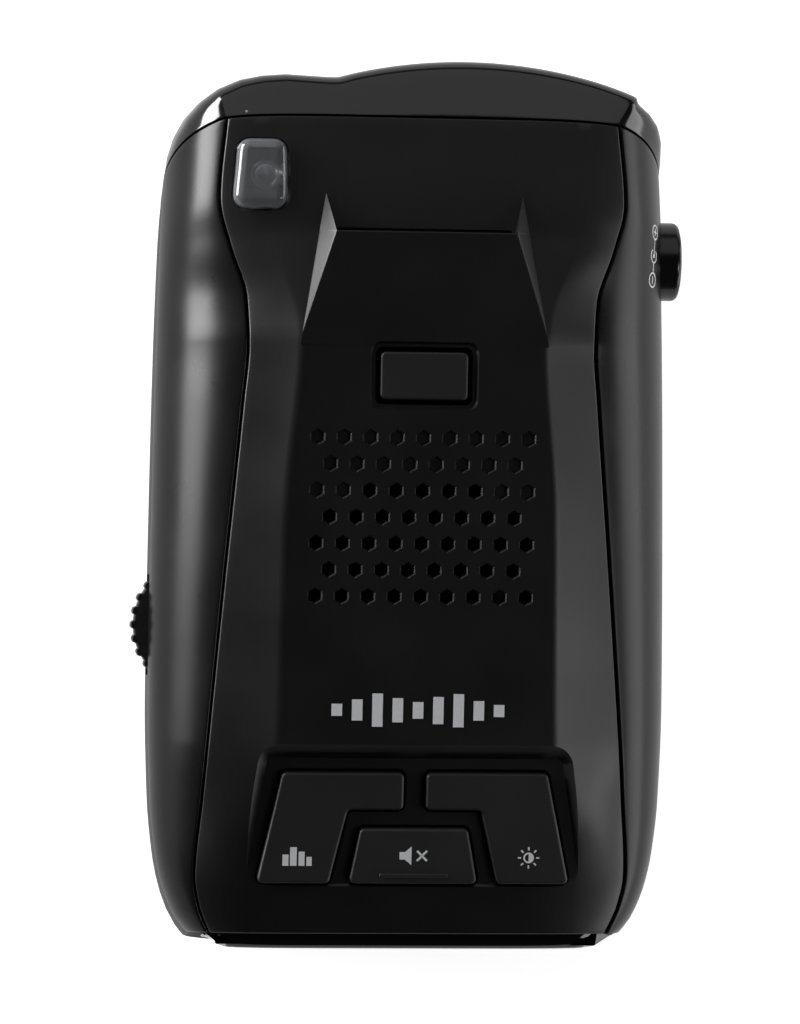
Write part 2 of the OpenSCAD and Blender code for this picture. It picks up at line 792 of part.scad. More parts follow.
module speaker_frame() {
    color([0.4, 0.4, 0.42]) on_deck(speaker_y) translate([0, 0, -wall - 1 - 4]) {
        difference() {
            union() {
                translate([0, 0, 3]) cylinder(d = speaker_d, h = 1);
                cylinder(d = speaker_d - 4, h = 3);
            }
            translate([0, 0, 1]) cylinder(d = speaker_d - 6, h = 5);
        }
    }
}

module speaker_cone() {
    color([0.15, 0.13, 0.12]) on_deck(speaker_y) translate([0, 0, -wall - 1 - 3]) {
        rotate_extrude() {
            polygon([[0, 0], [3, 0], [10.9, 2], [10.9, 2.4], [3, 0.5], [0, 0.5]]);
        }
    }
}

module speaker_magnet() {
    color([0.55, 0.55, 0.58]) on_deck(speaker_y) translate([0, 0, -wall - 1 - 4 - 2.2]) cylinder(d = 14, h = 2.2);
}

// ---------- display ----------

module display_module() {
    color([0.2, 0.22, 0.3]) translate([-19, -53.4, board_top]) cube([38, 2.8, 7]);
}

// ---------- fasteners and trim ----------

module board_screws() {
    color([0.7, 0.7, 0.72]) {
        for (p = board_screw_at) {
            translate([p[0], p[1], board_top]) mirror([0, 0, 1]) screw(4.2, 1.8, 4, 1.2);
        }
    }
}

module case_screws() {
    color([0.25, 0.25, 0.26]) {
        for (p = case_screw_at) {
            translate([p[0], p[1], 3.6]) screw(15, 2.2, 5, 1.8);
        }
    }
}

// Row of bars that rise and fall like a sound level
bars = [1.6, 2.8, 4.4, 3.2, 2.2, 3.6, 4.4, 2.6, 1.6];
module emblem() {
    color([0.75, 0.76, 0.78]) on_deck(-26.9) {
        for (i = [0:len(bars) - 1]) {
            translate([(i - 4) * 2.7 - 0.7, -bars[i] / 2, 0]) cube([1.4, bars[i], 0.15]);
        }
    }
}

module rating_plate() {
    color([0.6, 0.6, 0.6]) translate([0, plate_y, 0.05]) linear_extrude(0.25) rounded(plate_size, 1.4);
}

lower_case();
top_panel();
left_side_panel();
right_side_panel();
front_window();
display_window();
rear_laser_lens();
left_key();
centre_key();
right_key();
left_switch_stem();
centre_switch_stem();
right_switch_stem();
key_switch_housings();
key_board();
release_button();
release_spring();
latch_retainer();
retainer_screws();
volume_wheel();
volume_shaft();
volume_pot_body();
power_inlet();
power_inlet_pin();
main_board();
horn_antenna();
shield_can();
laser_board();
front_laser_diode();
rear_laser_diode();
speaker_frame();
speaker_magnet();
speaker_cone();
speaker_gasket();
display_module();
board_screws();
case_screws();
emblem();
rating_plate();
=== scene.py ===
"""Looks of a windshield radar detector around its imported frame: mouldings, window, keys, lens and finishes."""

import logging
import math
from dataclasses import dataclass, field
from enum import Enum
from typing import Sequence

import bmesh
import bpy
import numpy as np
from mathutils import Matrix, Vector


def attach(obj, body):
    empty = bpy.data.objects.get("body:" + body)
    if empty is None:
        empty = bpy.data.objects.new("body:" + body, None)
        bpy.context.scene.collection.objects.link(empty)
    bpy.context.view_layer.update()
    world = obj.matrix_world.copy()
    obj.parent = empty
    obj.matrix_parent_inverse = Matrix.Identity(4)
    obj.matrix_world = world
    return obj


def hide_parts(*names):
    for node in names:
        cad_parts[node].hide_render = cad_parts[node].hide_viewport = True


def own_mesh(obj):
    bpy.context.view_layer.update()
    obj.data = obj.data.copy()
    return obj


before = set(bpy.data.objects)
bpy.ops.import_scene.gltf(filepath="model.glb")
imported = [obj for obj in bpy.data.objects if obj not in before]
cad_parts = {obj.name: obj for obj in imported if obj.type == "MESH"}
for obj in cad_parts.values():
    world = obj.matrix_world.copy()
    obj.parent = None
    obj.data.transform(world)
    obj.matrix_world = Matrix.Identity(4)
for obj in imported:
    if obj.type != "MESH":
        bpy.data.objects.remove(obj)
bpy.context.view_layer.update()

LOG = logging.getLogger("radar_detector")
MM = 0.001
Outline = list[tuple[float, float]]


# ---------- small tools ----------


def linear(code: str) -> tuple[float, float, float, float]:
    """Turn an sRGB hex colour to a linear one.

    Args:
        code: Six hex digits, with or without a leading #.

    Returns:
        Red, green, blue and alpha in linear light.
    """
    raw = [int(code.lstrip("#")[i : i + 2], 16) / 255 for i in (0, 2, 4)]
    r, g, b = (c / 12.92 if c <= 0.04045 else ((c + 0.055) / 1.055) ** 2.4 for c in raw)
    return (r, g, b, 1.0)


def add_node(tree: bpy.types.NodeTree, kind: str, inputs: dict | None = None, **settings: object) -> bpy.types.Node:
    """Add one node with its settings, values and links.

    Args:
        tree: The tree that takes the node.
        kind: The node's type name.
        inputs: Value or source socket for each input, by name or number.
        **settings: Properties of the node itself.

    Returns:
        The new node.
    """
    node = tree.nodes.new(kind)
    for key, value in settings.items():
        setattr(node, key, value)
    for key, value in (inputs or {}).items():
        if isinstance(value, bpy.types.NodeSocket):
            tree.links.new(value, node.inputs[key])
        else:
            node.inputs[key].default_value = value
    return node


def solid(name: str, points: Sequence, faces: Sequence, weld: float = 1e-4) -> bpy.types.Object:
    """Make a closed mesh object from points in millimetres.

    Args:
        name: Name of the object.
        points: Corner points in millimetres.
        faces: Faces as lists of point numbers.
        weld: Points closer than this, in millimetres, become one.

    Returns:
        The object, with outward normals.
    """
    mesh = bpy.data.meshes.new(name)
    mesh.from_pydata((np.asarray(points, float) * MM).tolist(), [], [list(map(int, f)) for f in faces])
    bm = bmesh.new()
    bm.from_mesh(mesh)
    bmesh.ops.remove_doubles(bm, verts=bm.verts, dist=weld * MM)
    bmesh.ops.dissolve_degenerate(bm, edges=bm.edges, dist=weld * MM * 0.5)
    bmesh.ops.recalc_face_normals(bm, faces=bm.faces)
    bm.to_mesh(mesh)
    bm.free()
    made = bpy.data.objects.new(name, mesh)
    bpy.context.scene.collection.objects.link(made)
    return made


def loft(name: str, loops: Sequence[np.ndarray], place: Matrix | None = None) -> bpy.types.Object:
    """Join closed loops of equal point counts into a capped solid.

    Args:
        name: Name of the object.
        loops: Loops of points in millimetres, from one end to the other.
        place: Matrix in millimetres that puts the loops in place.

    Returns:
        The object.
    """
    m = len(loops[0])
    points = np.vstack([np.asarray(loop, float) for loop in loops])
    if place is not None:
        turn = np.array(place)
        points = points @ turn[:3, :3].T + turn[:3, 3]
    faces = [list(range(m - 1, -1, -1)), [(len(loops) - 1) * m + i for i in range(m)]]
    for k in range(len(loops) - 1):
        for i in range(m):
            j = (i + 1) % m
            faces.append([k * m + i, k * m + j, (k + 1) * m + j, (k + 1) * m + i])
    return solid(name, points, faces)


def lathe(name: str, profile: Outline, steps: int, place: Matrix) -> bpy.types.Object:
    """Turn a closed profile of (radius, height) points round the Z axis.

    Args:
        name: Name of the object.
        profile: Closed profile in millimetres.
        steps: Number of steps round the axis.
        place: Matrix in millimetres that puts it in place.

    Returns:
        The object.
    """
    m = len(profile)
    points, faces = [], []
    for k in range(steps):
        a = 2 * math.pi * k / steps
        points += [(r * math.cos(a), r * math.sin(a), h) for r, h in profile]
    for k in range(steps):
        for i in range(m):
            j, n = (i + 1) % m, (k + 1) % steps
            faces.append([k * m + i, n * m + i, n * m + j, k * m + j])
    turn = np.array(place)
    placed = np.array(points) @ turn[:3, :3].T + turn[:3, 3]
    return solid(name, placed, faces)


def rounded(corners: Outline, radius: float, steps: int = 6) -> np.ndarray:
    """Round every corner of an outline.

    Args:
        corners: Corner points.
        radius: Corner radius.
        steps: Steps in each corner.

    Returns:
        The rounded outline as an array of points.
    """
    out = []
    for i, corner in enumerate(corners):
        p = np.array(corner, float)
        a = np.array(corners[i - 1], float) - p
        b = np.array(corners[(i + 1) % len(corners)], float) - p
        a, b = a / np.linalg.norm(a), b / np.linalg.norm(b)
        half = math.acos(max(-1.0, min(1.0, float(a @ b)))) / 2
        centre = p + (a + b) / np.linalg.norm(a + b) * radius / math.sin(half)
        v0, v1 = p + a * radius / math.tan(half) - centre, p + b * radius / math.tan(half) - centre
        a0, a1 = math.atan2(v0[1], v0[0]), math.atan2(v1[1], v1[0])
        sweep = (a1 - a0 + math.pi) % (2 * math.pi) - math.pi
        for k in range(steps + 1):
            angle = a0 + sweep * k / steps
            out.append(centre + radius * np.array([math.cos(angle), math.sin(angle)]))
    return np.array(out)


def block(width: float, length: float) -> Outline:
    """Corners of a rectangle around the origin, anticlockwise."""
    return [(-width / 2, -length / 2), (width / 2, -length / 2), (width / 2, length / 2), (-width / 2, length / 2)]


def grown(outline: np.ndarray, by: float) -> np.ndarray:
    """Move an outline outwards by a distance.

    Args:
        outline: Closed outline of points.
        by: Distance outwards, or inwards if negative.

    Returns:
        The moved outline.
    """
    x, y = outline[:, 0], outline[:, 1]
    area = float(np.sum(x * np.roll(y, -1) - np.roll(x, -1) * y))
    edge = np.roll(outline, -1, 0) - outline
    edge /= np.linalg.norm(edge, axis=1)[:, None] + 1e-12
    normal = np.stack([edge[:, 1], -edge[:, 0]], 1) * (1 if area > 0 else -1)
    before = np.roll(normal, 1, 0)
    share = 1 + np.sum(normal * before, axis=1)
    return outline + by * (normal + before) / np.maximum(share, 0.3)[:, None]


def at_height(outline: np.ndarray, z: float) -> np.ndarray:
    """Lift a flat outline to a height."""
    return np.column_stack([outline, np.full(len(outline), z)])


def rounded_top(outline: np.ndarray, top: float, radius: float, steps: int = 4) -> list[np.ndarray]:
    """Loops that round the upper edge of an upright prism.

    Args:
        outline: Outline of the prism.
        top: Height of its top face.
        radius: Radius of the edge.
        steps: Steps in the rounding.

    Returns:
        Loops from below the rounding to just inside the top face.
    """
    loops = []
    for k in range(steps + 1):
        a = math.pi / 2 * k / steps
        loops.append(at_height(grown(outline, -radius * (1 - math.cos(a))), top - radius * (1 - math.sin(a))))
    loops.append(at_height(grown(outline, -radius - 0.12), top))
    return loops


def baked(piece: bpy.types.Object) -> bpy.types.Object:
    """Turn a piece's modifiers into plain mesh and remove them."""
    made = bpy.data.meshes.new_from_object(piece.evaluated_get(bpy.context.evaluated_depsgraph_get()))
    piece.modifiers.clear()
    piece.data = made
    return piece


class Cut(Enum):
    """How one solid acts on another."""

    AWAY = "DIFFERENCE"
    TOGETHER = "UNION"


def carve(piece: bpy.types.Object, tool: bpy.types.Object, how: Cut) -> bpy.types.Object:
    """Cut a tool solid from a piece, or join it on.

    Args:
        piece: The solid that changes.
        tool: The other solid, which is used up.
        how: Cut away or join together.

    Returns:
        The changed piece.
    """
    change = piece.modifiers.new("carve", "BOOLEAN")
    change.operation, change.solver, change.object = how.value, "EXACT", tool
    baked(piece)
    bpy.data.objects.remove(tool)
    return piece


def shaded(piece: bpy.types.Object, angle: float = 30.0) -> bpy.types.Object:
    """Shade a piece smooth, with edges over an angle kept sharp and its large faces kept flat."""
    piece.data.shade_smooth()
    piece.data.set_sharp_from_angle(angle=math.radians(angle))
    weight = piece.modifiers.new("flat_faces", "WEIGHTED_NORMAL")
    weight.mode, weight.keep_sharp, weight.weight = "FACE_AREA", True, 60
    return baked(piece)


def shift(x: float, y: float, z: float) -> Matrix:
    """Matrix that moves by x, y and z millimetres."""
    return Matrix.Translation((x, y, z))


def joined(name: str, pieces: Sequence[bpy.types.Object]) -> bpy.types.Object:
    """Make one object out of several.

    Args:
        name: Name of the new object.
        pieces: Objects at the origin, which are used up.

    Returns:
        The new object.
    """
    bm = bmesh.new()
    for one in pieces:
        bm.from_mesh(one.data)
        bpy.data.objects.remove(one)
    mesh = bpy.data.meshes.new(name)
    bm.to_mesh(mesh)
    bm.free()
    made = bpy.data.objects.new(name, mesh)
    bpy.context.scene.collection.objects.link(made)
    return made


# ---------- finishes ----------


@dataclass(frozen=True)
class Finish:
    """One real finish: its colour, gloss, grain and how uneven it is.

    Colours are sRGB hex, and sizes are millimetres on the part.
    """

    name: str
    colour: str
    second: str
    roughness: float
    spread: float = 0.05
    patch_mm: float = 14.0
    grain_mm: float = 0.3
    grain_depth: float = 0.004
    along: tuple[float, float, float] = (1.0, 1.0, 1.0)
    metallic: float = 0.0
    ior: float = 1.5
    clear: float = 0.0
    coat: float = 0.0
    specks: float = 0.0

    def build(self) -> bpy.types.Material:
        """Build the finish as a node material and return it."""
        made = bpy.data.materials.new(self.name)
        made.use_nodes = True
        tree = made.node_tree
        tree.nodes.clear()
        place = add_node(tree, "ShaderNodeTexCoord")
        mapped = add_node(tree, "ShaderNodeMapping", {"Vector": place.outputs["Object"], "Scale": self.along})
        patch = add_node(
            tree,
            "ShaderNodeTexNoise",
            {"Vector": place.outputs["Object"], "Scale": 1 / (self.patch_mm * MM), "Detail": 4.0, "Roughness": 0.55},
        )
        grain = add_node(
            tree,
            "ShaderNodeTexNoise",
            {"Vector": mapped.outputs[0], "Scale": 1 / (self.grain_mm * MM), "Detail": 2.0, "Roughness": 0.6},
        )
        colour = add_node(
            tree,
            "ShaderNodeMix",
            {0: patch.outputs["Fac"], 6: linear(self.colour), 7: linear(self.second)},
            data_type="RGBA",
        ).outputs[2]
        if self.specks:
            # Dust: one speck in each 5 mm cell, a few tenths of a millimetre across, and most of them hidden
            cell = add_node(
                tree, "ShaderNodeTexVoronoi", {"Vector": place.outputs["Object"], "Scale": 1 / (5 * MM)}
            )
            near = add_node(
                tree, "ShaderNodeMath", {0: cell.outputs["Distance"], 1: self.specks}, operation="LESS_THAN"
            )
            split = add_node(tree, "ShaderNodeSeparateColor", {"Color": cell.outputs["Color"]})
            shown = add_node(tree, "ShaderNodeMath", {0: split.outputs[0], 1: 0.35}, operation="LESS_THAN")
            both = add_node(
                tree, "ShaderNodeMath", {0: near.outputs[0], 1: shown.outputs[0]}, operation="MULTIPLY"
            )
            colour = add_node(
                tree, "ShaderNodeMix", {0: both.outputs[0], 6: colour, 7: linear("#7d7d80")}, data_type="RGBA"
            ).outputs[2]
        rough = add_node(
            tree,
            "ShaderNodeMapRange",
            {
                "Value": patch.outputs["Fac"],
                "From Min": 0.3,
                "From Max": 0.7,
                "To Min": max(0.0, self.roughness - self.spread),
                "To Max": min(1.0, self.roughness + self.spread),
            },
        )
        bump = add_node(
            tree,
            "ShaderNodeBump",
            {"Height": grain.outputs["Fac"], "Strength": 1.0, "Distance": self.grain_depth * MM},
        )
        shader = add_node(
            tree,
            "ShaderNodeBsdfPrincipled",
            {
                "Base Color": colour,
                "Roughness": rough.outputs[0],
                "Normal": bump.outputs[0],
                "Metallic": self.metallic,
                "Transmission Weight": self.clear,
                "Coat Weight": self.coat,
            },
        )
        if not self.metallic:
            shader.inputs["IOR"].default_value = self.ior
        if self.coat:
            shader.inputs["Coat Roughness"].default_value = 0.04
        add_node(tree, "ShaderNodeOutputMaterial", {"Surface": shader.outputs[0]})
        return made


FINISHES = {
    # Spark-eroded tool on the top panel: matte black with a fine even grain
    "top_black": Finish(
        "top_panel_abs_spark_grain", "#090909", "#0b0b0c", 0.38, 0.03, grain_mm=0.35, grain_depth=0.006
    ),
    # Satin face. Its index of refraction is set below that of ABS (1.53) to hold the highlights down
    "side_black": Finish(
        "side_panel_abs_satin", "#0a0a0b", "#0d0d0e", 0.29, 0.03, grain_mm=0.3, grain_depth=0.002, ior=1.36
    ),
    "case_black": Finish("lower_case_abs_spark_grain", "#141415", "#18181a", 0.46, 0.04, grain_depth=0.007),
    # Polished tool: the window is glossy and dark as ink, and shows every speck of dust
    "window_black": Finish(
        "radar_window_polycarbonate_gloss", "#0e0e10", "#121215", 0.15, 0.03, grain_mm=3.0, grain_depth=0.003,
        ior=1.585, specks=0.035,
    ),
    "display_glass": Finish(
        "display_window_acrylic_smoke", "#060607", "#09090b", 0.06, 0.02, grain_mm=3.0, grain_depth=0.002, ior=1.49,
        coat=0.3,
    ),
    # Keys have a slightly coarser grain than the panel round them
    "key_black": Finish("key_abs_fine_texture", "#101011", "#131314", 0.5, 0.03, grain_mm=0.4, grain_depth=0.010),
    "wheel_black": Finish("volume_wheel_acetal", "#111112", "#161617", 0.38, 0.05),
    "inlet_black": Finish("power_inlet_nylon_gloss", "#0c0c0d", "#101011", 0.22, 0.04),
    # Clear polycarbonate: bends light strongly and has faint flow marks from moulding
    "clear_lens": Finish(
        "laser_lens_polycarbonate_clear", "#e4e7ec", "#d6dae0", 0.04, 0.03,
        patch_mm=2.5, grain_mm=2.0, grain_depth=0.006, ior=1.585, clear=0.89,
    ),
    "silver_print": Finish("emblem_silver_ink", "#e6e7ea", "#d4d5d9", 0.4, 0.06, patch_mm=0.5, metallic=0.15),
    "legend_print": Finish("legend_ink_light_grey", "#d8d9db", "#cbccce", 0.6, 0.05, patch_mm=0.8),
    "plate_grey": Finish("rating_plate_polyester_satin", "#8d8f92", "#97999c", 0.4, 0.05, patch_mm=5),
    "board_green": Finish("board_solder_mask_green", "#0f3d22", "#16492a", 0.3, 0.08, patch_mm=3, grain_mm=0.6),
    "tin_plate": Finish(
        "shield_tin_plate_rolled", "#b9bab7", "#a9aaa8", 0.3, 0.08, grain_mm=0.4, along=(1, 0.08, 1), metallic=1.0
    ),
    "cast_horn": Finish(
        "horn_zinc_die_cast", "#9c9d9b", "#8a8b8a", 0.5, 0.08, grain_mm=0.5, grain_depth=0.02, metallic=1.0
    ),
    "screw_steel": Finish("screw_steel_zinc_plate", "#b4b5b8", "#9fa1a6", 0.28, 0.06, patch_mm=1.5, metallic=1.0),
    "black_steel": Finish("screw_steel_black_oxide", "#2b2b2d", "#38383a", 0.4, 0.08, patch_mm=1.5, metallic=1.0),
    "spring_steel": Finish("spring_steel_drawn_wire", "#a5a6a9", "#8c8d91", 0.3, 0.06, grain_mm=0.2, metallic=1.0),
    "contact_brass": Finish("contact_brass_nickel_plate", "#c8bd9e", "#b5a985", 0.25, 0.06, patch_mm=1, metallic=1.0),
    "part_black": Finish("component_epoxy_black", "#1b1b1c", "#232324", 0.5, 0.06, grain_mm=0.25, grain_depth=0.01),
    "stem_plastic": Finish("switch_stem_nylon_natural", "#cfc9b8", "#c4bda9", 0.45, 0.06, patch_mm=2),
    "magnet_steel": Finish("speaker_magnet_cup_zinc_plate", "#8f9196", "#7d8085", 0.35, 0.08, patch_mm=3, metallic=1.0),
    # Pulp cone: fibres show as soft low streaks
    "cone_paper": Finish(
        "speaker_cone_paper_pulp", "#26221f", "#332d28", 0.85, 0.05, grain_mm=0.5, grain_depth=0.03, along=(1, 0.3, 1)
    ),
    "foam": Finish(
        "gasket_foam_closed_cell", "#2a2a2b", "#363637", 0.9, 0.05, patch_mm=0.7, grain_mm=0.4, grain_depth=0.06
    ),
    "display_cell": Finish("display_cell_glass_amber_off", "#15161c", "#1d1e27", 0.15, 0.05, patch_mm=3),
    "diode_epoxy": Finish("laser_diode_epoxy_dark_filter", "#101018", "#191924", 0.12, 0.04, patch_mm=2, ior=1.55),
}
_made: dict[str, bpy.types.Material] = {}


def material(name: str) -> bpy.types.Material:
    """The material of a finish, built on first use."""
    if name not in _made:
        _made[name] = FINISHES[name].build()
    return _made[name]


def dress(
    piece: bpy.types.Object, finish: str, body: str = "case", nodes: Sequence[str] = (), angle: float = 30.0
) -> bpy.types.Object:
    """Give a piece its finish, its body and the nodes that it stands for.

    Args:
        piece: The finished piece.
        finish: Name of its finish.
        body: Body that the piece rides on.
        nodes: CAD nodes that it replaces.
        angle: Edges over this many degrees stay sharp.

    Returns:
        The piece.
    """
    shaded(piece, angle)
    piece.data.materials.clear()
    piece.data.materials.append(material(finish))
    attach(piece, body)
    if nodes:
        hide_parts(*nodes)
    LOG.info("%s: %d faces, rides on %s", piece.name, len(piece.data.polygons), body)
    return piece


# ---------- repeats made with Geometry Nodes ----------


class Pattern(Enum):
    """What a set of copies follows."""

    GRID = "copies_on_grid"
    RING = "copies_on_ring"
    ROW = "bars_in_row"


@dataclass
class Copies:
    """Copies of one small solid along a grid, a ring or a row, made by a Geometry Nodes tree."""

    pattern: Pattern
    sizes: dict[str, float | int | bool] = field(default_factory=dict)

    def tree(self) -> tuple[bpy.types.NodeTree, dict[str, str]]:
        """Build the tree.

        Returns:
            The tree, and each input's identifier by name.
        """
        tree = bpy.data.node_groups.new(self.pattern.value, "GeometryNodeTree")
        tree.interface.new_socket(name="Solid", in_out="INPUT", socket_type="NodeSocketGeometry")
        named = {}
        kinds = {bool: "NodeSocketBool", int: "NodeSocketInt", float: "NodeSocketFloat"}
        for name, value in self.sizes.items():
            item = tree.interface.new_socket(name=name, in_out="INPUT", socket_type=kinds[type(value)])
            named[name] = item.identifier
        item = tree.interface.new_socket(name="Finish", in_out="INPUT", socket_type="NodeSocketMaterial")
        named["Finish"] = item.identifier
        tree.interface.new_socket(name="Geometry", in_out="OUTPUT", socket_type="NodeSocketGeometry")
        given = add_node(tree, "NodeGroupInput").outputs
        made = {Pattern.GRID: self._grid, Pattern.RING: self._ring, Pattern.ROW: self._row}[self.pattern](tree, given)
        real = add_node(tree, "GeometryNodeRealizeInstances", {"Geometry": made})
        ended = add_node(tree, "GeometryNodeSetMaterial", {"Geometry": real.outputs[0], "Material": given["Finish"]})
        add_node(tree, "NodeGroupOutput", {"Geometry": ended.outputs[0]})
        return tree, named

    @staticmethod
    def _math(tree: bpy.types.NodeTree, operation: str, *values: object) -> bpy.types.NodeSocket:
        """One step of arithmetic in a tree."""
        return add_node(tree, "ShaderNodeMath", dict(enumerate(values)), operation=operation).outputs[0]

    def _grid(self, tree: bpy.types.NodeTree, given: object) -> bpy.types.NodeSocket:
        """Copies on a grid whose odd rows may be staggered and one shorter.

        Only one of two kinds is kept: the closed ones at the front of the grid, or the open ones.
        """
        wide = self._math(tree, "MULTIPLY", self._math(tree, "SUBTRACT", given["Columns"], 1.0), given["Pitch X"])
        deep = self._math(tree, "MULTIPLY", self._math(tree, "SUBTRACT", given["Rows"], 1.0), given["Pitch Y"])
        grid = add_node(
            tree,
            "GeometryNodeMeshGrid",
            {"Size X": wide, "Size Y": deep, "Vertices X": given["Columns"], "Vertices Y": given["Rows"]},
        )
        number = add_node(tree, "GeometryNodeInputIndex").outputs[0]
        row = self._math(tree, "FLOORED_MODULO", number, given["Rows"])
        column = self._math(tree, "FLOOR", self._math(tree, "DIVIDE", number, given["Rows"]))
        odd = self._math(tree, "MULTIPLY", self._math(tree, "FLOORED_MODULO", row, 2.0), given["Staggered"])
        half = self._math(tree, "MULTIPLY", self._math(tree, "MULTIPLY", odd, 0.5), given["Pitch X"])
        step = add_node(tree, "ShaderNodeCombineXYZ", {0: half})
        moved = add_node(
            tree, "GeometryNodeSetPosition", {"Geometry": grid.outputs["Mesh"], "Offset": step.outputs[0]}
        )
        last = self._math(tree, "GREATER_THAN", column, self._math(tree, "SUBTRACT", given["Columns"], 1.5))
        spare = self._math(tree, "MULTIPLY", odd, last)
        front = self._math(tree, "GREATER_THAN", row, given["Open Rows"])
        edge_row = self._math(tree, "COMPARE", row, given["Open Rows"], 0.1)
        centre = self._math(tree, "MULTIPLY", self._math(tree, "SUBTRACT", given["Columns"], 1.0), 0.5)
        outer = self._math(
            tree, "GREATER_THAN", self._math(tree, "ABSOLUTE", self._math(tree, "SUBTRACT", column, centre)), 2.5
        )
        closed = self._math(tree, "MAXIMUM", front, self._math(tree, "MULTIPLY", edge_row, outer))
        wrong = self._math(tree, "ABSOLUTE", self._math(tree, "SUBTRACT", closed, given["Closed"]))
        gone = self._math(tree, "GREATER_THAN", self._math(tree, "ADD", spare, wrong), 0.5)
        kept = add_node(
            tree, "GeometryNodeDeleteGeometry", {"Geometry": moved.outputs[0], "Selection": gone}, domain="POINT"
        )
        points = add_node(tree, "GeometryNodeMeshToPoints", {"Mesh": kept.outputs[0]})
        return add_node(
            tree, "GeometryNodeInstanceOnPoints", {"Points": points.outputs[0], "Instance": given["Solid"]}
        ).outputs[0]

    def _ring(self, tree: bpy.types.NodeTree, given: object) -> bpy.types.NodeSocket:
        """Copies round a ring, each turned to face outwards."""
        ring = add_node(tree, "GeometryNodeMeshCircle", {"Vertices": given["Count"], "Radius": given["Radius"]})
        number = add_node(tree, "GeometryNodeInputIndex").outputs[0]
        turn = self._math(tree, "MULTIPLY", self._math(tree, "DIVIDE", number, given["Count"]), 2 * math.pi)
        angle = add_node(tree, "ShaderNodeCombineXYZ", {2: turn})
        return add_node(
            tree,
            "GeometryNodeInstanceOnPoints",
            {"Points": ring.outputs[0], "Instance": given["Solid"], "Rotation": angle.outputs[0]},
        ).outputs[0]

    def _row(self, tree: bpy.types.NodeTree, given: object) -> bpy.types.NodeSocket:
        """Bars on the points of a row, each as long as the point's own height value."""
        height = add_node(tree, "GeometryNodeInputNamedAttribute", {"Name": "bar_height"}, data_type="FLOAT")
        bar = add_node(
            tree,
            "GeometryNodeMeshCube",
            {
                "Size": add_node(
                    tree, "ShaderNodeCombineXYZ", {0: given["Width"], 1: 1.0, 2: given["Thickness"]}
                ).outputs[0]
            },
        )
        size = add_node(tree, "ShaderNodeCombineXYZ", {0: 1.0, 1: height.outputs[0], 2: 1.0})
        points = add_node(tree, "GeometryNodeMeshToPoints", {"Mesh": given["Solid"]})
        return add_node(
            tree,
            "GeometryNodeInstanceOnPoints",
            {"Points": points.outputs[0], "Instance": bar.outputs[0], "Scale": size.outputs[0]},
        ).outputs[0]

    def build(self, name: str, one: bpy.types.Object, finish: str, place: Matrix) -> bpy.types.Object:
        """Run the tree on one solid and keep the result as plain mesh.

        Args:
            name: Name of the result.
            one: The solid that is copied, at the origin, which is used up.
            finish: Name of the finish.
            place: Matrix in millimetres that puts the whole set in place.

        Returns:
            The copies as one object.
        """
        tree, named = self.tree()
        change = one.modifiers.new(self.pattern.value, "NODES")
        change.node_group = tree
        for key, value in self.sizes.items():
            change[named[key]] = value
        change[named["Finish"]] = material(finish)
        baked(one)
        scaled = Matrix.Scale(MM, 4) @ place @ Matrix.Scale(1 / MM, 4)
        one.data.transform(scaled)
        one.name = one.data.name = name
        return one


# ---------- form of the case ----------


@dataclass(frozen=True)
class Curve:
    """Smooth curve through (y, value) stops that never overshoots them."""

    stops: tuple[tuple[float, float], ...]

    def at(self, y: np.ndarray | float) -> np.ndarray:
        """Value of the curve at y."""
        xs, vs = np.array(self.stops, float).T
        slope = np.diff(vs) / np.diff(xs)
        product = slope[:-1] * slope[1:]
        total = np.where(np.abs(slope[:-1] + slope[1:]) < 1e-12, 1.0, slope[:-1] + slope[1:])
        inner = np.where(product <= 0, 0.0, 2 * product / total)
        tangent = np.concatenate([slope[:1], inner, slope[-1:]])
        y = np.asarray(y, float)
        i = np.clip(np.searchsorted(xs, y, side="right") - 1, 0, len(xs) - 2)
        h = xs[i + 1] - xs[i]
        u = np.clip((y - xs[i]) / h, 0, 1)
        return (
            (1 + 2 * u) * (1 - u) ** 2 * vs[i]
            + u * (1 - u) ** 2 * h * tangent[i]
            + u * u * (3 - 2 * u) * vs[i + 1]
            + u * u * (u - 1) * h * tangent[i + 1]
        )


def ramp(y: np.ndarray | float, start: float, end: float) -> np.ndarray:
    """0 before start, 1 after end, straight in between."""
    return np.clip((np.asarray(y, float) - start) / (end - start), 0, 1)


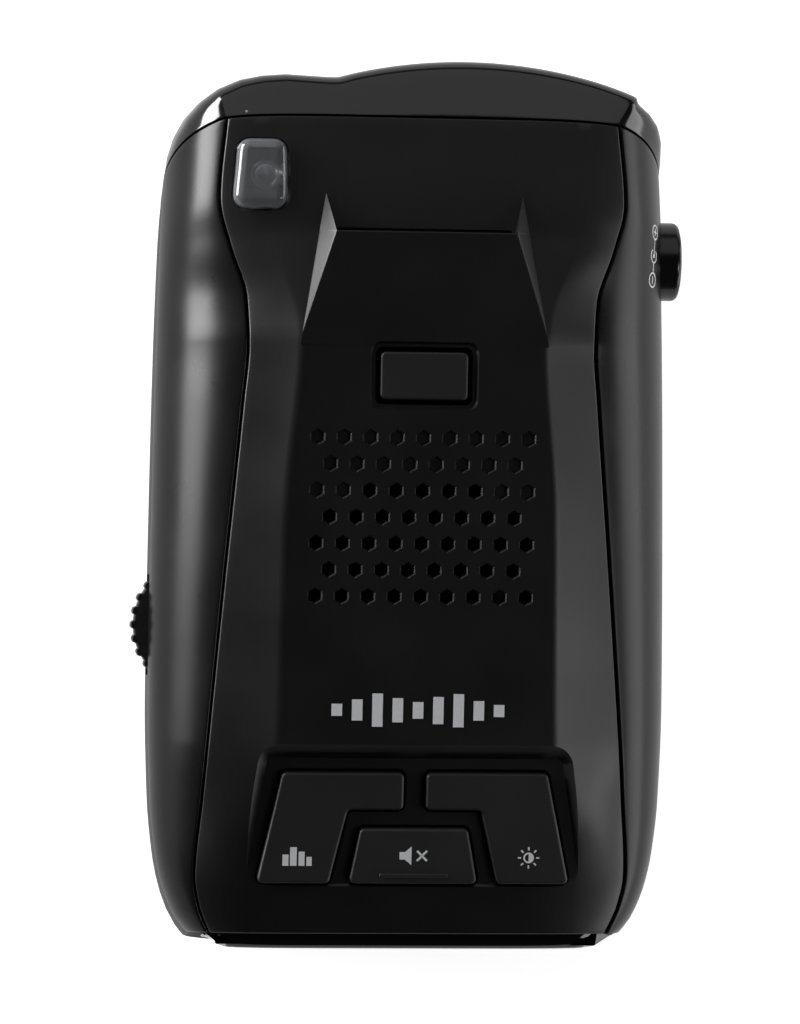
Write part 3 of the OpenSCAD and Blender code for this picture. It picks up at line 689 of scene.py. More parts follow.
@dataclass(frozen=True)
class CaseForm:
    """Outer surface of the case, in millimetres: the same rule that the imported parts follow."""

    girth: Curve = Curve(
        ((-60, 26.2), (-57.6, 29.2), (-55, 31.2), (-50.3, 33.0), (-46.3, 33.8), (-39.5, 34.5), (-26, 34.9),
         (7.7, 34.6), (34.7, 34.0), (44, 33.5), (52, 32.4))
    )
    seam: Curve = Curve(
        ((-57, 26.8), (-53.3, 28.3), (-49.3, 29.0), (-38.8, 28.2), (-12, 26.0), (14, 23.7), (20.8, 23.15),
         (27.4, 23.5), (34, 25.6), (40.6, 27.1), (51.5, 26.2))
    )
    crease: Curve = Curve(
        ((-57, 23), (-47, 22.5), (-32, 18.6), (0, 18.0), (22.6, 16.3), (36, 20.5), (45, 22), (51.5, 21.5))
    )
    drop: Curve = Curve(((-57, 3.0), (-28, 3.1), (0, 3.0), (22.6, 3.0), (36.2, 1.9), (45, 1.4), (51.5, 1.0)))
    parting_z: float = 12.0
    deck_mid_z: float = 29.0
    deck_tilt: float = math.radians(3.75)
    rear_y: float = -57.0
    rear_lean: float = 0.063
    rear_z: float = 21.5
    front_y: float = 51.5
    front_z: float = 27.0
    recess_y: float = -32.0
    hood_y: float = 22.6
    step_y: float = 36.2
    base_z: float = 28.4
    belly_r: float = 7.0
    gap: float = 0.3
    crease_soft: float = 0.6

    def deck_z(self, y: np.ndarray | float) -> np.ndarray:
        """Height of the flat deck."""
        return self.deck_mid_z + np.asarray(y, float) * math.tan(self.deck_tilt)

    def centre_z(self, y: np.ndarray | float) -> np.ndarray:
        """Height of the case along its centre line."""
        y = np.asarray(y, float)
        d = self.recess_y - y
        behind = self.deck_z(self.recess_y) - 0.1405 * d - 0.00352 * d * d
        top = self.deck_z(self.hood_y)
        under = top + (self.base_z - top) * ramp(y, self.hood_y, self.step_y)
        ahead = self.base_z + (self.front_z - self.base_z) * ramp(y, self.step_y, self.front_y)
        return np.where(
            y < self.recess_y, behind,
            np.where(y <= self.hood_y, self.deck_z(y), np.where(y <= self.step_y, under, ahead)),
        )

    def top_z(self, x: np.ndarray, y: np.ndarray) -> np.ndarray:
        """Height of the top panel at any place inside the seam."""
        seam, crease = self.seam.at(y), self.crease.at(y)
        over, w = np.abs(x) - crease, self.crease_soft
        past = np.where(over < -w, 0, np.where(over > w, over, (over + w) ** 2 / (4 * w)))
        creased = (np.maximum(past, 0) / (seam - crease)) ** 0.92
        soft = np.maximum(ramp(y, self.hood_y, self.step_y), ramp(-np.asarray(y, float), 32, 44))
        return self.centre_z(y) - self.drop.at(y) * ((1 - soft) * creased + soft * (np.abs(x) / seam) ** 6)

    def rake(self, y: np.ndarray | float) -> np.ndarray:
        """Lean of the section planes."""
        return 0.55 * ramp(y, 24, self.front_y) ** 1.5 + self.rear_lean * ramp(-np.asarray(y, float), 36, 56)

    def place(self, x: np.ndarray, y: np.ndarray | float, z: np.ndarray) -> np.ndarray:
        """Points of a section on its leaning plane."""
        y = np.asarray(y, float) + np.zeros_like(np.asarray(x, float))
        datum = np.where(y > 0, self.front_z, self.rear_z)
        return np.stack([x, y + self.rake(y) * (z - datum), z], -1)

    def low_girth(self, y: float) -> float:
        """Half width of the case at the parting height of the section at y."""
        datum = self.front_z if y > 0 else self.rear_z
        return float(self.girth.at(y + float(self.rake(y)) * (self.parting_z - datum)))

    def shoulder(self, y: float, steps: int = 160) -> np.ndarray:
        """Right shoulder of the section at y, from the seam down to the parting line, as (x, z) points."""
        s, g = float(self.seam.at(y)) + self.gap / 2, self.low_girth(y)
        z0, a0 = self.parting_z + 0.1, math.radians(22)
        h = float(self.centre_z(y) - self.drop.at(y)) - z0
        a = np.linspace(a0, math.pi / 2, steps)
        x = s + (g - s) * (np.sin(a) - math.sin(a0)) / (1 - math.sin(a0))
        return np.stack([x, z0 + h * np.cos(a) / math.cos(a0)], -1)

    def belly(self, y: float, steps: int = 40) -> np.ndarray:
        """Underside of the section at y, from the right parting line round to the left one, as (x, z) points."""
        g, r = self.low_girth(y), self.belly_r
        b = np.linspace(0, math.pi / 2, steps)
        right = np.vstack([[[g, self.parting_z]], np.stack([g - r * (1 - np.cos(b)), r * (1 - np.sin(b))], -1)])
        return np.vstack([right, right[::-1] * [-1, 1]])

    def stations(self, roll: float, step: float = 1.25) -> np.ndarray:
        """Section places along the case, closer together at the two ends."""
        ends = roll * np.array([0, 0.06, 0.22, 0.5, 1.0])
        kinks = np.array([self.recess_y, self.hood_y, self.step_y])
        even = np.arange(self.rear_y + roll + step / 2, self.front_y - roll - step / 3, step)
        even = even[np.min(np.abs(even[:, None] - kinks[None]), 1) > 0.45 * step]
        return np.sort(np.concatenate([self.rear_y + ends, even, kinks, self.front_y - ends]))


FORM = CaseForm()
TUB = CaseForm(rear_y=-56.0, rear_lean=0.168)


def along(line: np.ndarray, places: np.ndarray) -> np.ndarray:
    """Points of a line at given distances along it.

    Args:
        line: Points of the line.
        places: Distances from its start.

    Returns:
        The points at those distances.
    """
    run = np.concatenate([[0], np.cumsum(np.linalg.norm(np.diff(line, axis=0), axis=1))])
    return np.stack([np.interp(places, run, line[:, i]) for i in range(line.shape[1])], -1)


def length_of(line: np.ndarray) -> float:
    """Length of a line of points."""
    return float(np.sum(np.linalg.norm(np.diff(line, axis=0), axis=1)))


def panel(
    name: str, outer: np.ndarray, wall: float, roll: float, side: np.ndarray, end: np.ndarray
) -> bpy.types.Object:
    """A moulded sheet with rolled outer edges.

    Args:
        name: Name of the object.
        outer: Grid of outer points. Rows run forward, columns run clockwise seen from the rear.
        wall: Wall thickness.
        roll: Radius of the outer edges.
        side: Distance of each column from the nearest side edge.
        end: Distance of each row from the nearest end edge.

    Returns:
        The closed sheet.
    """
    n, m = outer.shape[:2]
    normal = np.cross(np.gradient(outer, axis=1), np.gradient(outer, axis=0))
    normal /= np.linalg.norm(normal, axis=2)[..., None]
    a, b = np.clip(roll - side, 0, None)[None, :], np.clip(roll - end, 0, None)[:, None]
    inset = roll - np.sqrt(np.maximum(roll**2 - a**2 - b**2, 0))
    points = np.vstack([(outer - inset[..., None] * normal).reshape(-1, 3), (outer - wall * normal).reshape(-1, 3)])
    k = n * m
    faces = []
    for r in range(n - 1):
        for c in range(m - 1):
            i = r * m + c
            faces += [[i, i + 1, i + m + 1, i + m], [k + i + m, k + i + m + 1, k + i + 1, k + i]]
    for c in range(m - 1):
        j = (n - 1) * m + c
        faces += [[c, k + c, k + c + 1, c + 1], [j + 1, k + j + 1, k + j, j]]
    for r in range(n - 1):
        i, j = r * m, r * m + m - 1
        faces += [[i + m, k + i + m, k + i, i], [j, k + j, k + j + m, j + m]]
    return solid(name, points, faces)


def strip(
    name: str, lines: list[np.ndarray], wall: float, roll: float, columns: int, rows: np.ndarray
) -> bpy.types.Object:
    """A panel whose rows are given as dense lines.

    Args:
        name: Name of the object.
        lines: One dense line of points for each row.
        wall: Wall thickness.
        roll: Radius of the outer edges.
        columns: Number of even columns.
        rows: Place of each row along the case.

    Returns:
        The closed sheet.
    """
    ends = roll * np.array([0, 0.06, 0.22, 0.5])
    grid = []
    for line in lines:
        total = length_of(line)
        places = np.concatenate([ends, np.linspace(roll, total - roll, columns), total - ends[::-1]])
        grid.append(along(line, places))
    side = np.concatenate([ends, [roll], np.full(columns - 2, 9.0), [roll], ends[::-1]])
    end = np.minimum(rows - rows[0], rows[-1] - rows)
    return panel(name, np.array(grid), wall, roll, side, end)


def deck_place(y: float) -> Matrix:
    """Frame on the deck at y, in millimetres."""
    return shift(0, y, float(FORM.deck_z(y))) @ Matrix.Rotation(FORM.deck_tilt, 4, "X")


# ---------- sub-assemblies ----------


@dataclass
class KeyPlan:
    """Places and outlines of the three keys, in plan on the tilted floor of their recess."""

    floor_y: float = -32.1
    floor_z: float = 24.8
    tilt: float = math.radians(6.2)
    rise: float = 1.1
    tray: float = 1.6
    play: float = 0.3
    corner: float = 0.7

    def place(self) -> Matrix:
        """Frame of the recess floor, with plan coordinates kept."""
        return shift(0, self.floor_y, self.floor_z) @ Matrix.Rotation(self.tilt, 4, "X") @ shift(0, -self.floor_y, 0)

    def outlines(self) -> dict[str, np.ndarray]:
        """Rounded outline of each key by its node name."""
        left = [(-17.7, -35.2), (-20.9, -50.1), (-11.25, -50.1), (-8.9, -40.2), (-1.5, -40.2), (-1.5, -35.2)]
        centre = [(-7.2, -42.7), (-8.6, -50.1), (8.6, -50.1), (7.2, -42.7)]
        right = [(-x, y) for x, y in reversed(left)]
        corners = {"left_key": left, "centre_key": centre, "right_key": right}
        return {name: rounded(points, self.corner) for name, points in corners.items()}


KEYS = KeyPlan()


@dataclass
class TopPanel:
    """Top panel with its hood, bracket slot, grille, button well, key recess and lens hole."""

    wall: float = 2.0
    roll: float = 0.25
    slot_w: float = 20.4
    slot_depth: float = 13.2
    slot_floor: float = 28.5
    slot_top: float = 30.0
    groove_w: float = 0.5
    groove_floor: float = 27.9
    grille_pitch: float = 3.5
    grille_hole: float = 1.9
    grille_y: float = -1.4
    button_y: float = 17.25
    lens_at: tuple[float, float] = (-21.8, 43.7)

    def skin(self) -> bpy.types.Object:
        """Main sheet between the two seams."""
        rows = FORM.stations(self.roll)
        s, c, r = FORM.seam.at(rows) - FORM.gap / 2, FORM.crease.at(rows), self.roll
        flat = (c - 1.1)[:, None] * np.linspace(0, 1, 12)[None, :]
        bend = c[:, None] + np.array([-0.6, -0.3, 0, 0.3, 0.6])[None]
        start = c + 0.6
        slope = start[:, None] + (s - r - start)[:, None] * np.linspace(0, 1, 9)[None, 1:]
        edge = s[:, None] - r * np.array([0.5, 0.22, 0.06, 0])[None]
        half = np.hstack([flat, bend, slope, edge])
        x = np.hstack([-half[:, :0:-1], half])
        y = np.repeat(rows[:, None], x.shape[1], 1)
        side = np.full(half.shape[1], 9.0)
        side[-5:] = r * np.array([1, 0.5, 0.22, 0.06, 0])
        side = np.concatenate([side[:0:-1], side])
        outer = FORM.place(x, y, FORM.top_z(x, y))
        return panel("top_panel_moulding", outer, self.wall, r, side, np.minimum(rows - rows[0], rows[-1] - rows))

    def hood(self) -> bpy.types.Object:
        """Hood over the bracket slot, with its two side fins."""
        y0, y1 = FORM.hood_y, FORM.step_y
        a = np.array([16.3, y0, float(FORM.deck_z(y0))])
        b = np.array([12.0, y1, float(FORM.deck_z(y1))])
        f = np.array([14.0, y1, FORM.base_z])
        tip = np.array([13.1, 41.3, float(FORM.centre_z(41.3))])
        sunk, flip = np.array([0, 0, -1.2]), np.array([-1, 1, 1])
        main = [p * q + s for p in (a, b, f) for q in (1, flip) for s in (0, sunk) if not (p is b and s is not 0)]
        made = self.hull("hood", main, 0.26)
        for q in (np.ones(3), flip):
            back = np.array([0, -0.6, 0])
            fin = [b, f, tip, b + back, f + back, np.array([b[0], b[1], f[2]]) + sunk, f + sunk, tip + sunk]
            carve(made, self.hull("fin", [p * q for p in fin], 0.08), Cut.TOGETHER)
        return made

    @staticmethod
    def hull(name: str, points: Sequence[np.ndarray], soft: float) -> bpy.types.Object:
        """The convex solid around points, with slightly softened edges."""
        bm = bmesh.new()
        for p in points:
            bm.verts.new(Vector(p) * MM)
        result = bmesh.ops.convex_hull(bm, input=bm.verts)
        bmesh.ops.delete(bm, geom=list(set(result["geom_interior"] + result["geom_unused"])), context="VERTS")
        bmesh.ops.dissolve_limit(bm, angle_limit=math.radians(1), verts=bm.verts, edges=bm.edges)
        rear = (FORM.hood_y + 0.1) * MM
        edges = [e for e in bm.edges if e.calc_face_angle(0) > math.radians(8) and any(v.co.y > rear for v in e.verts)]
        bmesh.ops.bevel(bm, geom=edges, offset=soft * MM, segments=2, profile=0.6, affect="EDGES", clamp_overlap=True)
        bmesh.ops.recalc_face_normals(bm, faces=bm.faces)
        mesh = bpy.data.meshes.new(name)
        bm.to_mesh(mesh)
        bm.free()
        made = bpy.data.objects.new(name, mesh)
        bpy.context.scene.collection.objects.link(made)
        return made

    def grille_tools(self) -> list[bpy.types.Object]:
        """Cutters for the grille: open holes, and the shallow ones at its front."""
        tools = []
        r = self.grille_hole / 2
        for closed, low in ((False, -3.4), (True, -0.5)):
            a = np.radians(np.arange(6) * 60 + 30)
            ring = np.stack([np.cos(a), np.sin(a)], -1)
            loops = [at_height(ring * r * k, z) for k, z in ((1, low), (1, -0.22), (1.22, 0.0), (1.45, 0.35))]
            one = loft("grille_hole", loops)
            sizes = {
                "Columns": 9, "Rows": 7, "Pitch X": self.grille_pitch * MM, "Pitch Y": self.grille_pitch * MM,
                "Staggered": True, "Open Rows": 4, "Closed": closed,
            }
            place = deck_place(self.grille_y)
            tools.append(Copies(Pattern.GRID, sizes).build("grille_cutters", one, "top_black", place))
        return tools

    def build(self) -> None:
        """Build the panel and dress it."""
        made = self.skin()
        for tool in self.grille_tools():
            carve(made, tool, Cut.AWAY)
        carve(made, self.hood(), Cut.TOGETHER)
        half = self.slot_w / 2
        base = np.array(block(2 * half + 3.2, 14.3)) + [0, 21.7 + 7.15]
        carve(made, loft("slot_block", [at_height(base, 26.4), at_height(base, 29.4)]), Cut.TOGETHER)
        tray = np.array(block(42, 17.5)) + [0, -40.25]
        carve(made, loft("tray", [at_height(tray, -KEYS.tray), at_height(tray, 0.4)], KEYS.place()), Cut.TOGETHER)
        mouth = np.array(block(2 * half, self.slot_depth + 0.6)) + [0, FORM.step_y + 0.3 - self.slot_depth / 2]
        carve(made, loft("slot", [at_height(mouth, self.slot_floor), at_height(mouth, self.slot_top)]), Cut.AWAY)
        # A narrow groove in front of the step, for the dark line there
        line = np.array(block(23.2, self.groove_w)) + [0, FORM.step_y + 0.27]
        carve(made, loft("shadow_line", [at_height(line, self.groove_floor), at_height(line, 31.0)]), Cut.AWAY)
        hook = np.array(block(5.6, 4)) + [0, 26.8]
        carve(made, loft("hook_window", [at_height(hook, 24.2), at_height(hook, 28.7)]), Cut.AWAY)
        self.cut_recess(made)
        self.cut_well(made)
        self.cut_lens_hole(made)
        self.add_posts(made)
        dress(made, "top_black", nodes=["top_panel"], angle=28)

    def cut_recess(self, made: bpy.types.Object) -> None:
        """Sink the key recess with its slanted walls, and open the keys' holes."""
        floor = rounded([(-19.7, -33.4), (-22.5, -50.3), (22.5, -50.3), (19.7, -33.4)], 0.9)
        loops = [at_height(floor, 0)] + [at_height(grown(floor, d), z) for d, z in ((0.08, 0.06), (1.95, 1.9), (4.0, 3.9))]
        carve(made, loft("recess", loops, KEYS.place()), Cut.AWAY)
        room = np.array(block(45, 19)) + [0, -41.9]
        carve(made, loft("under_tray", [at_height(room, -6), at_height(room, -KEYS.tray)], KEYS.place()), Cut.AWAY)
        for outline in KEYS.outlines().values():
            hole = grown(outline, KEYS.play)
            loops = [at_height(hole, -3), at_height(hole, -0.12)]
            loops += [at_height(grown(hole, d), z) for d, z in ((0.16, 0.04), (0.2, 1))]
            carve(made, loft("key_hole", loops, KEYS.place()), Cut.AWAY)

    def cut_well(self, made: bpy.types.Object) -> None:
        """Sink the release button's well and opening."""
        z = float(FORM.deck_z(self.button_y))
        hole = rounded(block(12.9, 7.6), 0.9) + [0, self.button_y]
        carve(made, loft("button_hole", [at_height(hole, z - 5), at_height(hole, z + 2)]), Cut.AWAY)
        well = rounded(block(14.1, 8.7), 1.2)
        loops = [at_height(grown(well, d), z) for d, z in ((-0.15, -0.5), (0.0, -0.28), (0.14, 0.0), (0.4, 0.5))]
        carve(made, loft("button_well", loops, deck_place(self.button_y)), Cut.AWAY)

    def cut_lens_hole(self, made: bpy.types.Object) -> None:
        """Open the hole for the rear laser lens."""
        hole = RearLens().outline(0.2) + list(self.lens_at)
        loops = [at_height(hole, 20), at_height(hole, 27.0)]
        loops += [at_height(grown(hole, d), z) for d, z in ((0.15, 27.5), (0.25, 30))]
        carve(made, loft("lens_hole", loops), Cut.AWAY)

    def add_posts(self, made: bpy.types.Object) -> None:
        """Hang the screw posts under the panel."""
        places = [(x, y, 6.0, 2.2, FORM.parting_z + 0.2, t) for x in (-20, 20) for y, t in ((28, 26.2), (-29, 25))]
        places += [
            (x, y, 3.6, 1.4, 22.4, float(FORM.centre_z(y)) - 1.5) for x in (-12.4, 12.4) for y in (13.2, 32)
        ]
        for x, y, d, bore, low, top in places:
            ring = [
                (bore / 2, low), (d / 2 - 0.2, low), (d / 2, low + 0.2), (d / 2, top),
                (0.01, top), (0.01, top - 1), (bore / 2, top - 1),
            ]
            carve(made, lathe("post", ring, 32, shift(x, y, 0)), Cut.TOGETHER)


@dataclass
class SidePanels:
    """The two rounded satin panels between the seams and the parting line."""

    wall: float = 2.0
    roll: float = 0.28
    columns: int = 34

    def build(self) -> None:
        """Build both panels and dress them."""
        rows = FORM.stations(self.roll)
        lines = []
        for y in rows:
            section = FORM.shoulder(float(y))
            lines.append(FORM.place(section[:, 0], float(y), section[:, 1]))
        for name, flip in (("right", 1), ("left", -1)):
            shape = [line * [flip, 1, 1] for line in lines]
            if flip < 0:
                shape = [line[::-1] for line in shape]
            made = strip(f"{name}_side_moulding", shape, self.wall, self.roll, self.columns, rows)
            for y in (-38, -5, 14):
                seam = float(FORM.seam.at(y + 4))
                edge = float(FORM.centre_z(y) - FORM.drop.at(y))
                x0, z0 = seam - 2, edge - self.wall - 2.6
                tab = np.array([(x0, y), (x0 + 5, y), (x0 + 5, y + 8), (x0, y + 8)]) * [flip, 1]
                carve(made, loft("tab", [at_height(tab, z0), at_height(tab, z0 + 1.6)]), Cut.TOGETHER)
                x1 = float(FORM.girth.at(y)) - self.wall - 1.7
                lip = np.array([(x1, y), (x1 + 1.4, y), (x1 + 1.4, y + 8), (x1, y + 8)]) * [flip, 1]
                low, top = FORM.parting_z - 4, FORM.parting_z + 4
                carve(made, loft("lip", [at_height(lip, low), at_height(lip, top)]), Cut.TOGETHER)
            if flip > 0:
                carve(made, inlet_cutter(), Cut.AWAY)
            dress(made, "side_black", nodes=[f"{name}_side_panel"], angle=28)


def inlet_cutter() -> bpy.types.Object:
    """Solid that opens the hole for the power inlet's barrel, with a chamfered mouth."""
    turn = shift(20, 33.7, 12) @ Matrix.Rotation(math.pi / 2, 4, "Y")
    a = np.linspace(0, 2 * math.pi, 48, endpoint=False)
    ring = np.stack([np.cos(a), np.sin(a)], -1)
    loops = [at_height(ring * r, z) for r, z in ((5.5, 0), (5.5, 13.1), (6.6, 15.2), (6.6, 30))]
    return loft("inlet_cutter", loops, turn)


@dataclass
class LowerCase:
    """Tub with the flat underside, the rear wall, the screw wells and the bosses."""

    wall: float = 2.0
    roll: float = 0.3
    columns: int = 76
    screws: tuple[tuple[float, float], ...] = ((-20, 28), (20, 28), (-20, -29), (20, -29))
    board_posts: tuple[tuple[float, float], ...] = ((-27, 12), (27, 12), (-27, -45), (27, -45))

    def rod(
        self, name: str, x: float, y: float, d: float, low: float, top: float, flare: float = 0.0
    ) -> bpy.types.Object:
        """An upright cylinder, with its lower end flared if asked."""
        a = np.linspace(0, 2 * math.pi, 40, endpoint=False)
        ring = np.stack([np.cos(a), np.sin(a)], -1)
        shape = [(d / 2 + flare, low), (d / 2 + flare, 0.0), (d / 2, flare)] if flare else [(d / 2, low)]
        loops = [at_height(ring * r, z) for r, z in [*shape, (d / 2, top)]]
        return loft(name, loops, shift(x, y, 0))

    def build(self) -> None:
        """Build the tub and dress it."""
        rows = TUB.stations(self.roll, 2.0)
        lines = []
        for y in rows:
            section = TUB.belly(float(y))
            lines.append(TUB.place(section[:, 0], float(y), section[:, 1]))
        made = strip("lower_case_moulding", lines, self.wall, self.roll, self.columns, rows)
        back = DisplayWindow().plate("rear_wall", 0.2, [(3.6, 0, 0), (2.0, 0, 0)])
        window = np.array(block(42, 30)) + [0, -55]
        carve(back, loft("view", [at_height(window, 5.2), at_height(window, 16.8)]), Cut.AWAY)
        carve(made, back, Cut.TOGETHER)
        for x in (-24, 24):
            foot = np.array(block(4, 3)) + [x, -55.1]
            carve(made, loft("foot", [at_height(foot, 1.6), at_height(foot, 5.6)]), Cut.TOGETHER)
        for x, y in self.screws:
            carve(made, self.rod("boss", x, y, 7.6, 0.8, FORM.parting_z), Cut.TOGETHER)
        for x, y in self.board_posts:
            carve(made, self.rod("post", x, y, 5, 1, 4.9), Cut.TOGETHER)
        for x, y in self.screws:
            carve(made, self.rod("well", x, y, 5.6, -1, 3.6, 0.35), Cut.AWAY)
            carve(made, self.rod("way", x, y, 2.9, -1, 20), Cut.AWAY)
        for x, y in self.board_posts:
            carve(made, self.rod("pilot", x, y, 1.8, 2, 8), Cut.AWAY)
        carve(made, self.rod("wheel_room", -28.2, -16.3, 19, 7.7, 15.7), Cut.AWAY)
        carve(made, inlet_cutter(), Cut.AWAY)
        pocket = rounded(block(30.4, 22.4), 1.5) + [0, -20]
        carve(made, loft("plate_pocket", [at_height(grown(pocket, 0.2), -1), at_height(grown(pocket, 0.2), 0), at_height(pocket, 0.12),
                                          at_height(pocket, 0.3)]), Cut.AWAY)
        dress(made, "case_black", nodes=["lower_case"], angle=28)


@dataclass
class DisplayWindow:
    """Smoked plate across the rear end."""

    wall: float = 2.0

    def ring(self, margin: float) -> np.ndarray:
        """Outline of the plate as (x, z) points, in by a margin from the case's inner faces."""
        y, cut = TUB.rear_y, self.wall + margin
        side = TUB.shoulder(y)
        low = TUB.belly(y)[:41]
        span = np.linspace(-1, 1, 41) * (float(TUB.seam.at(y)) - 0.25)
        top = np.stack([span, TUB.top_z(span, np.full(41, y))], -1)
        half = np.vstack([side[::6], low[1:]])
        outline = np.vstack([top[::-1] * [-1, 1], half, half[::-1] * [-1, 1]])
        keep = [0]
        for i in range(1, len(outline)):
            if np.linalg.norm(outline[i] - outline[keep[-1]]) > 0.35:
                keep.append(i)
        return grown(outline[keep], -cut)

    def plate(self, name: str, margin: float, levels: Sequence[tuple[float, float, float]]) -> bpy.types.Object:
        """A plate on the leaning rear plane.

        Args:
            name: Name of the object.
            margin: Gap to the case's inner faces.
            levels: Loops as (depth behind the leaning plane, furthest reach along Y, inset of the outline).

        Returns:
            The plate.
        """
        ring = self.ring(margin)
        loops = []
        for depth, reach, inset in levels:
            line = grown(ring, -inset)
            y = TUB.rear_y + depth + TUB.rear_lean * (line[:, 1] - TUB.rear_z)
            taper = 2.6 * ramp(np.abs(line[:, 0]), 23.5, 28) ** 2
            loops.append(np.stack([line[:, 0], np.minimum(y, reach + taper), line[:, 1]], -1))
        return loft(name, loops)

    def build(self) -> None:
        """Build the window, whose brow stands out over the lower edge, and dress it."""
        brow = [
            (1.7, 0, 0), (0.0, -56.4, 0), (0.0, -57.2, 0.02), (0.0, -57.9, 0.3), (0.0, -58.6, 0.8),
            (0.0, -58.95, 1.12), (0.0, -59.15, 1.4), (0.0, -59.24, 1.75), (0.0, -59.26, 2.1),
        ]
        made = self.plate("display_window_plate", 0.25, brow)
        dress(made, "display_glass", nodes=["display_window"])


@dataclass
class FrontWindow:
    """Gloss cap that the horn and the front laser look through, with the bulge of the horn right of the middle."""

    gap: float = 0.25
    thickness: float = 1.4
    columns: int = 140
    left: tuple[tuple[float, float], ...] = (
        (-33.5, 43.65), (-33.1, 46.6), (-32.3, 49.2), (-31.0, 51.6), (-29.2, 53.7), (-27.0, 55.3), (-24.2, 56.5),
        (-21.3, 57.1), (-18.2, 57.35), (-15.0, 57.2), (-12.6, 57.1),
    )
    right: tuple[tuple[float, float], ...] = (
        (29.4, 54.5), (31.2, 53.3), (32.6, 51.8), (33.4, 49.9), (33.65, 47.2), (33.5, 43.65),
    )

    def outline(self) -> np.ndarray:
        """Widest outline of the cap in plan, from left to right."""
        start, end = math.atan2(57.5 + 5.2, -11.3 - 6.3), math.atan2(54.9 + 5.2, 28.9 - 6.3)
        a = np.linspace(start, end, 60)
        bulge = np.stack([6.3 + 64.7 * np.cos(a), -5.2 + 64.7 * np.sin(a)], -1)
        return np.vstack([self.left, bulge, self.right])

    def section(self, lower: bool) -> np.ndarray:
        """Parting edge, from left to right: over the top of the case, or under it."""
        y = FORM.front_y + self.gap
        if lower:
            half = FORM.belly(FORM.front_y)
            half = half[::-1]
        else:
            side = FORM.shoulder(FORM.front_y, steps=60)
            side[-1, 1] = FORM.parting_z
            x = np.linspace(-1, 1, 60) * (float(FORM.seam.at(FORM.front_y)) - 0.4)
            top = np.stack([x, FORM.top_z(x, np.full(60, FORM.front_y))], -1)
            half = np.vstack([side[::-1] * [-1, 1], top, side])
        placed = FORM.place(half[:, 0], FORM.front_y, half[:, 1])
        placed[:, 1] += self.gap
        return placed

    def build(self) -> None:
        """Build the cap and dress it."""
        outline = self.outline()
        share = np.linspace(0, 1, self.columns)
        rim_share = np.interp(share, [0, 0.155, 0.845, 1], [0, 0.2, 0.8, 1])
        edge = along(outline, share * length_of(outline))
        grids = []
        h = 1 - (1 - np.linspace(0, 1, 26)) ** 2.2
        for lower in (False, True):
            line = self.section(lower)
            rim = along(line, rim_share * length_of(line))
            reach = np.clip(np.linalg.norm(edge - rim[:, :2], axis=1) / 6.0, 0, 1)
            power = (2.0 + 7.5 * reach**1.5) if not lower else (2.0 + 0.8 * reach)
            fall = (2.0 if not lower else 4.5) * reach
            rows = []
            for t in h:
                body = (1 - t**power) ** (1 / power)
                xy = rim[:, :2] + (edge - rim[:, :2]) * t
                way = rim[:, 2] - FORM.parting_z
                way = way - np.sign(way + 1e-9) * np.minimum(fall * t, np.abs(way))
                rows.append(np.column_stack([xy, FORM.parting_z + way * body]))
            grids.append(np.array(rows))
        points = np.vstack([g.reshape(-1, 3) for g in grids])
        n, m = grids[0].shape[:2]
        faces = []
        for g in range(2):
            for r in range(n - 1):
                for c in range(m - 1):
                    i = g * n * m + r * m + c
                    quad = [i, i + 1, i + m + 1, i + m]
                    faces.append(quad if g == 0 else quad[::-1])
        made = solid("front_window_cap", points, faces, weld=0.01)
        wall = made.modifiers.new("wall", "SOLIDIFY")
        wall.thickness, wall.offset = self.thickness * MM, -1.0
        edge_soft = made.modifiers.new("edge", "BEVEL")
        edge_soft.width, edge_soft.segments, edge_soft.limit_method = 0.22 * MM, 3, "ANGLE"
        edge_soft.angle_limit = math.radians(50)
        baked(made)
        dress(made, "window_black", nodes=["front_window"], angle=60)


@dataclass
class RearLens:
    """Clear block of the rear laser lens in the front left corner."""

    at: tuple[float, float] = (-21.8, 43.7)
    size: tuple[float, float] = (7.4, 9.2)
    top: float = 28.75

    def outline(self, margin: float = 0.0) -> np.ndarray:
        """Outline of the block, a little narrower in front.

        Args:
            margin: Distance to move the outline outward.

        Returns:
            The outline round its own middle.
        """
        w, h = self.size[0] / 2, self.size[1] / 2
        return grown(rounded([(-w + 0.8, h), (-w, -h), (w, -h), (w - 0.2, h)], 1.7), margin)

    def build(self) -> None:
        """Build the lens and dress it."""
        flange = rounded(block(self.size[0] + 1.2, self.size[1] + 2), 2.0)
        body = self.outline()
        inner = grown(body, -1.15)
        loops = [at_height(grown(inner, -0.2), 24.6), at_height(inner, 24.2), at_height(inner, 23.0)]
        loops += [at_height(flange, 23.0), at_height(flange, 23.9), at_height(body, 23.9), at_height(body, 27.3)]
        loops += [at_height(grown(body, -d), z) for d, z in ((0.08, 27.8), (0.35, 28.3), (0.75, 28.6), (1.2, self.top))]
        loops.append(at_height(grown(body, -1.35), self.top))
        made = loft("rear_laser_lens_block", loops, shift(self.at[0], self.at[1], 0))
        eye = [(0.01, 24.3), (2.1, 24.3), (2.1, 24.7), (1.9, 25.3), (1.4, 25.9), (0.8, 26.2), (0.01, 26.3)]
        carve(made, lathe("eye", eye, 48, shift(self.at[0] + 0.9, self.at[1] - 0.1, 0)), Cut.AWAY)
        dress(made, "clear_lens", nodes=["rear_laser_lens"], angle=40)


